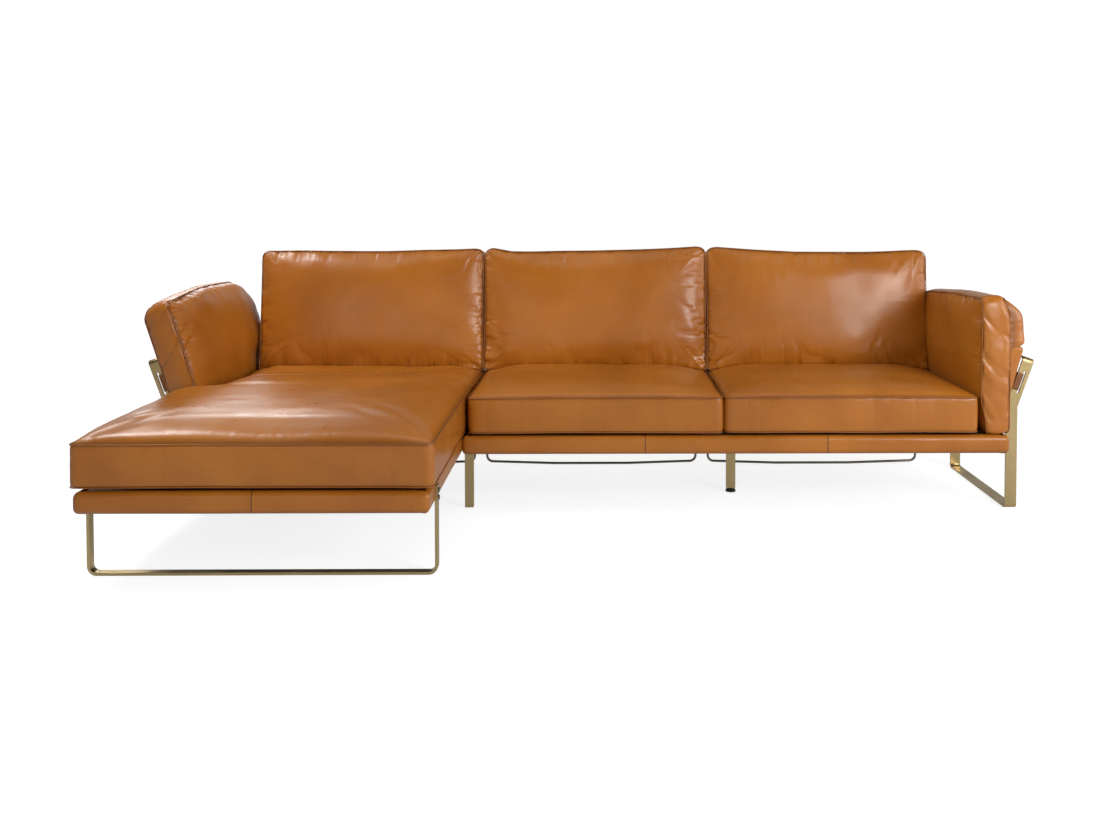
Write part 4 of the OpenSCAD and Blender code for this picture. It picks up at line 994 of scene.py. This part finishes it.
def hidden_cloth(name, base, holes):
    """The felt, the webbing and the dust cover of a base."""
    lap, pitch, width = 0.030, 0.096, 0.050
    x0, y0, x1, y1 = base
    inner = (x0 + lap, y0 + lap, x1 - lap, y1 - lap)
    w, d = inner[2] - inner[0], inner[3] - inner[1]
    slots = [(x - 0.0085, y - 0.0055, x + 0.0085, y + 0.0055) for x in (LEFT_PIVOT, RIGHT_PIVOT) for y in HINGE_YS]
    at = lambda gx, gy, size, seed: wave(np.c_[gx.ravel(), gy.ravel(), 0 * gx.ravel()], size, seed).reshape(gx.shape)
    felt = lambda gx, gy: FELT_Z + 0.0002 * at(gx, gy, 0.1, 3)
    cloth(name + "_felt", name + "_deck_felt", [(inner, (0.02, 0.02), felt, slots)], 0.0032, mats["felt"], "felt",
          (w, d), "laid", name + "_frame")
    sag = lambda gx, gy: DUST_Z - 0.0025 * (np.sin(np.pi * (gx - x0) / (x1 - x0)) * np.sin(
        np.pi * (gy - y0) / (y1 - y0))) ** 0.5 * (0.6 + 0.4 * at(gx, gy, 0.2, 5))
    cloth(name + "_dust_sheet", name + "_dust_cover", [(inner, (0.02, 0.02), sag, holes)], 0.0008, mats["dust"],
          "dust_cloth", (w, d), "stretched", name + "_frame")
    nx, ny = int((w - width) / pitch), int((d - width) / pitch)
    xs = [(x0 + x1) / 2 + (i - nx / 2) * pitch for i in range(nx + 1)]
    ys = [(y0 + y1) / 2 + (j - ny / 2) * pitch for j in range(ny + 1)]
    straps = []
    for i, x in enumerate(xs):
        over = lambda gx, gy, i=i: WEB_Z + WEAVE * np.cos(np.pi * ((gy - ys[0]) / pitch + i))
        straps.append(((x - width / 2, inner[1], x + width / 2, inner[3]), (0.025, 0.012), over, slots))
    for j, y in enumerate(ys):
        under = lambda gx, gy, j=j: WEB_Z - WEAVE * np.cos(np.pi * ((gx - xs[0]) / pitch + j))
        straps.append(((inner[0], y - width / 2, inner[2], y + width / 2), (0.012, 0.025), under, slots))
    cloth(name + "_web", name + "_webbing", straps, 0.0008, mats["webbing"], "webbing",
          (width, len(xs) * d + len(ys) * w), "stretched", name + "_frame")


# ---- seams across panels, and the soft flank
def cross_seam(name, cushion, start, end, toward, body):
    """A thin lapped seam along the line where a cushion's skin meets the plane through two points."""
    data = cushion.obj.data
    skin = BVHTree.FromPolygons([v.co for v in data.vertices], [p.vertices for p in data.polygons])
    start, end, toward = Vector(start), Vector(end), Vector(toward)
    line = []
    for t in np.linspace(0, 1, 140):
        at = start.lerp(end, t)
        hit = skin.ray_cast(at - toward * 0.2, toward)[0]
        if hit is not None:
            line.append(tuple(hit))
    tube(name, [np.array(line)], 0.0019, mats["leather"], body, closed=False)


def arm_flank():
    """The soft flank of the upright arm, under its crease."""
    ys, zs = np.linspace(-0.060, 0.590, 84), np.linspace(0.394, CREASE_Z + 0.012, 36)
    gy, gz = np.meshgrid(ys, zs)
    s = (gy - ys.mean()) / np.ptp(ys) * 2
    out = np.minimum((gz - 0.376) * 0.336, 0.064) * np.clip(1 - np.abs(s) ** 24, 0, 1) ** 0.5
    out *= np.sqrt(np.clip(1 - np.clip((gz - CREASE_Z) / 0.0125, 0, 1) ** 2, 0.02, 1))
    y, z = gy.ravel(), gz.ravel()
    rough = (-0.0008 + 0.0008 * wave(np.c_[y, z, 0 * y], 0.09, 81)
             + 0.0012 * folds(np.c_[y, 0 * y + 0.57, 0 * y], np.abs(CREASE_Z - z), 0.05, 82))
    out = np.maximum(out + rough.reshape(out.shape) * np.clip(out / 0.02, 0, 1), 0.0008)
    x = RIGHT_PIVOT + ARM_T / 2 + 0.0004
    rows = np.dstack([np.full(gy.shape, x) + out / 2, gy, gz])
    points, faces = slab(rows, np.dstack([out, 0 * gy, 0 * gy]), 1.0)
    o = closed_mesh("right_arm_flank", points, faces, mats["leather"])
    subdivide(o)
    soft(o, "right_arm")
    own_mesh(o)


def dress_nodes():
    """Materials for the CAD nodes that keep their shape, and a small round on the bars' edges."""
    sides = lambda *names: [side + name for name in names for side in ("left_", "right_")]
    kinds = {
        "brass": [*sides("side_frame"), "chaise_hoop", "middle_leg", "centre_leg"],
        "gunmetal": [*sides("side_plate", "hinge_brackets"), "middle_leg_flange", "centre_leg_bracket",
                     "chaise_back_loop", "middle_back_loop", "right_back_loop", "loop_clips", "hoop_bolts"],
        "zinc": [*sides("side_bolts", "hinge_legs", "hinge_pins", "hinge_screws"), "module_bolts"],
        "wood": [*sides("arm_board"), "chaise_frame", "sofa_frame"],
        "nylon": ["centre_leg_glide"],
    }
    for kind, names in kinds.items():
        for name in names:
            data = nodes[name].data
            data.materials.clear()
            data.materials.append(mats[kind])
    for name in kinds["brass"]:
        o = nodes[name]
        weld = o.modifiers.new("weld", "WELD")
        weld.merge_threshold = 0.00001
        bevel = o.modifiers.new("bevel", "BEVEL")
        bevel.width, bevel.segments = 0.0007, 2
        bevel.limit_method, bevel.angle_limit = "ANGLE", math.radians(50)


place_camera()
light_scene()
make_floor()
mats = make_materials()
chaise, right_arm = make_cushions()
cross_seam("chaise_seam", chaise, (CHAISE_SEAT_X0 + 0.004, 0.166, 0.45), (CHAISE_SEAT_X1 - 0.004, 0.166, 0.45),
           (0, 0, -1), "root")
cross_seam("right_arm_seam", right_arm, (1.85, -0.072, 0.533), (1.85, 0.655, 0.533), (1, 0, 0), "right_arm")
arm_flank()
for n, (name, x) in enumerate(zip(("chaise_back", "middle_back", "right_back"), LOOP_XS)):
    back_sling(name, x, 60 + n)
bar_straps(-1)
bar_straps(1)
hidden_cloth("chaise", CHAISE_BASE, [])
hidden_cloth("sofa", SOFA_BASE, [(-0.036, -0.036, 0.036, 0.036), (0.933, 0.160, 0.998, 0.242)])
for name, base, seams in (("chaise", CHAISE_BASE, [-0.522]), ("sofa", SOFA_BASE, [0.628, 1.272])):
    base_rail(name + "_base_leather", base, seams,
              [f"{name}_{side}_cover" for side in ("front", "left", "right", "rear")])
dress_nodes()
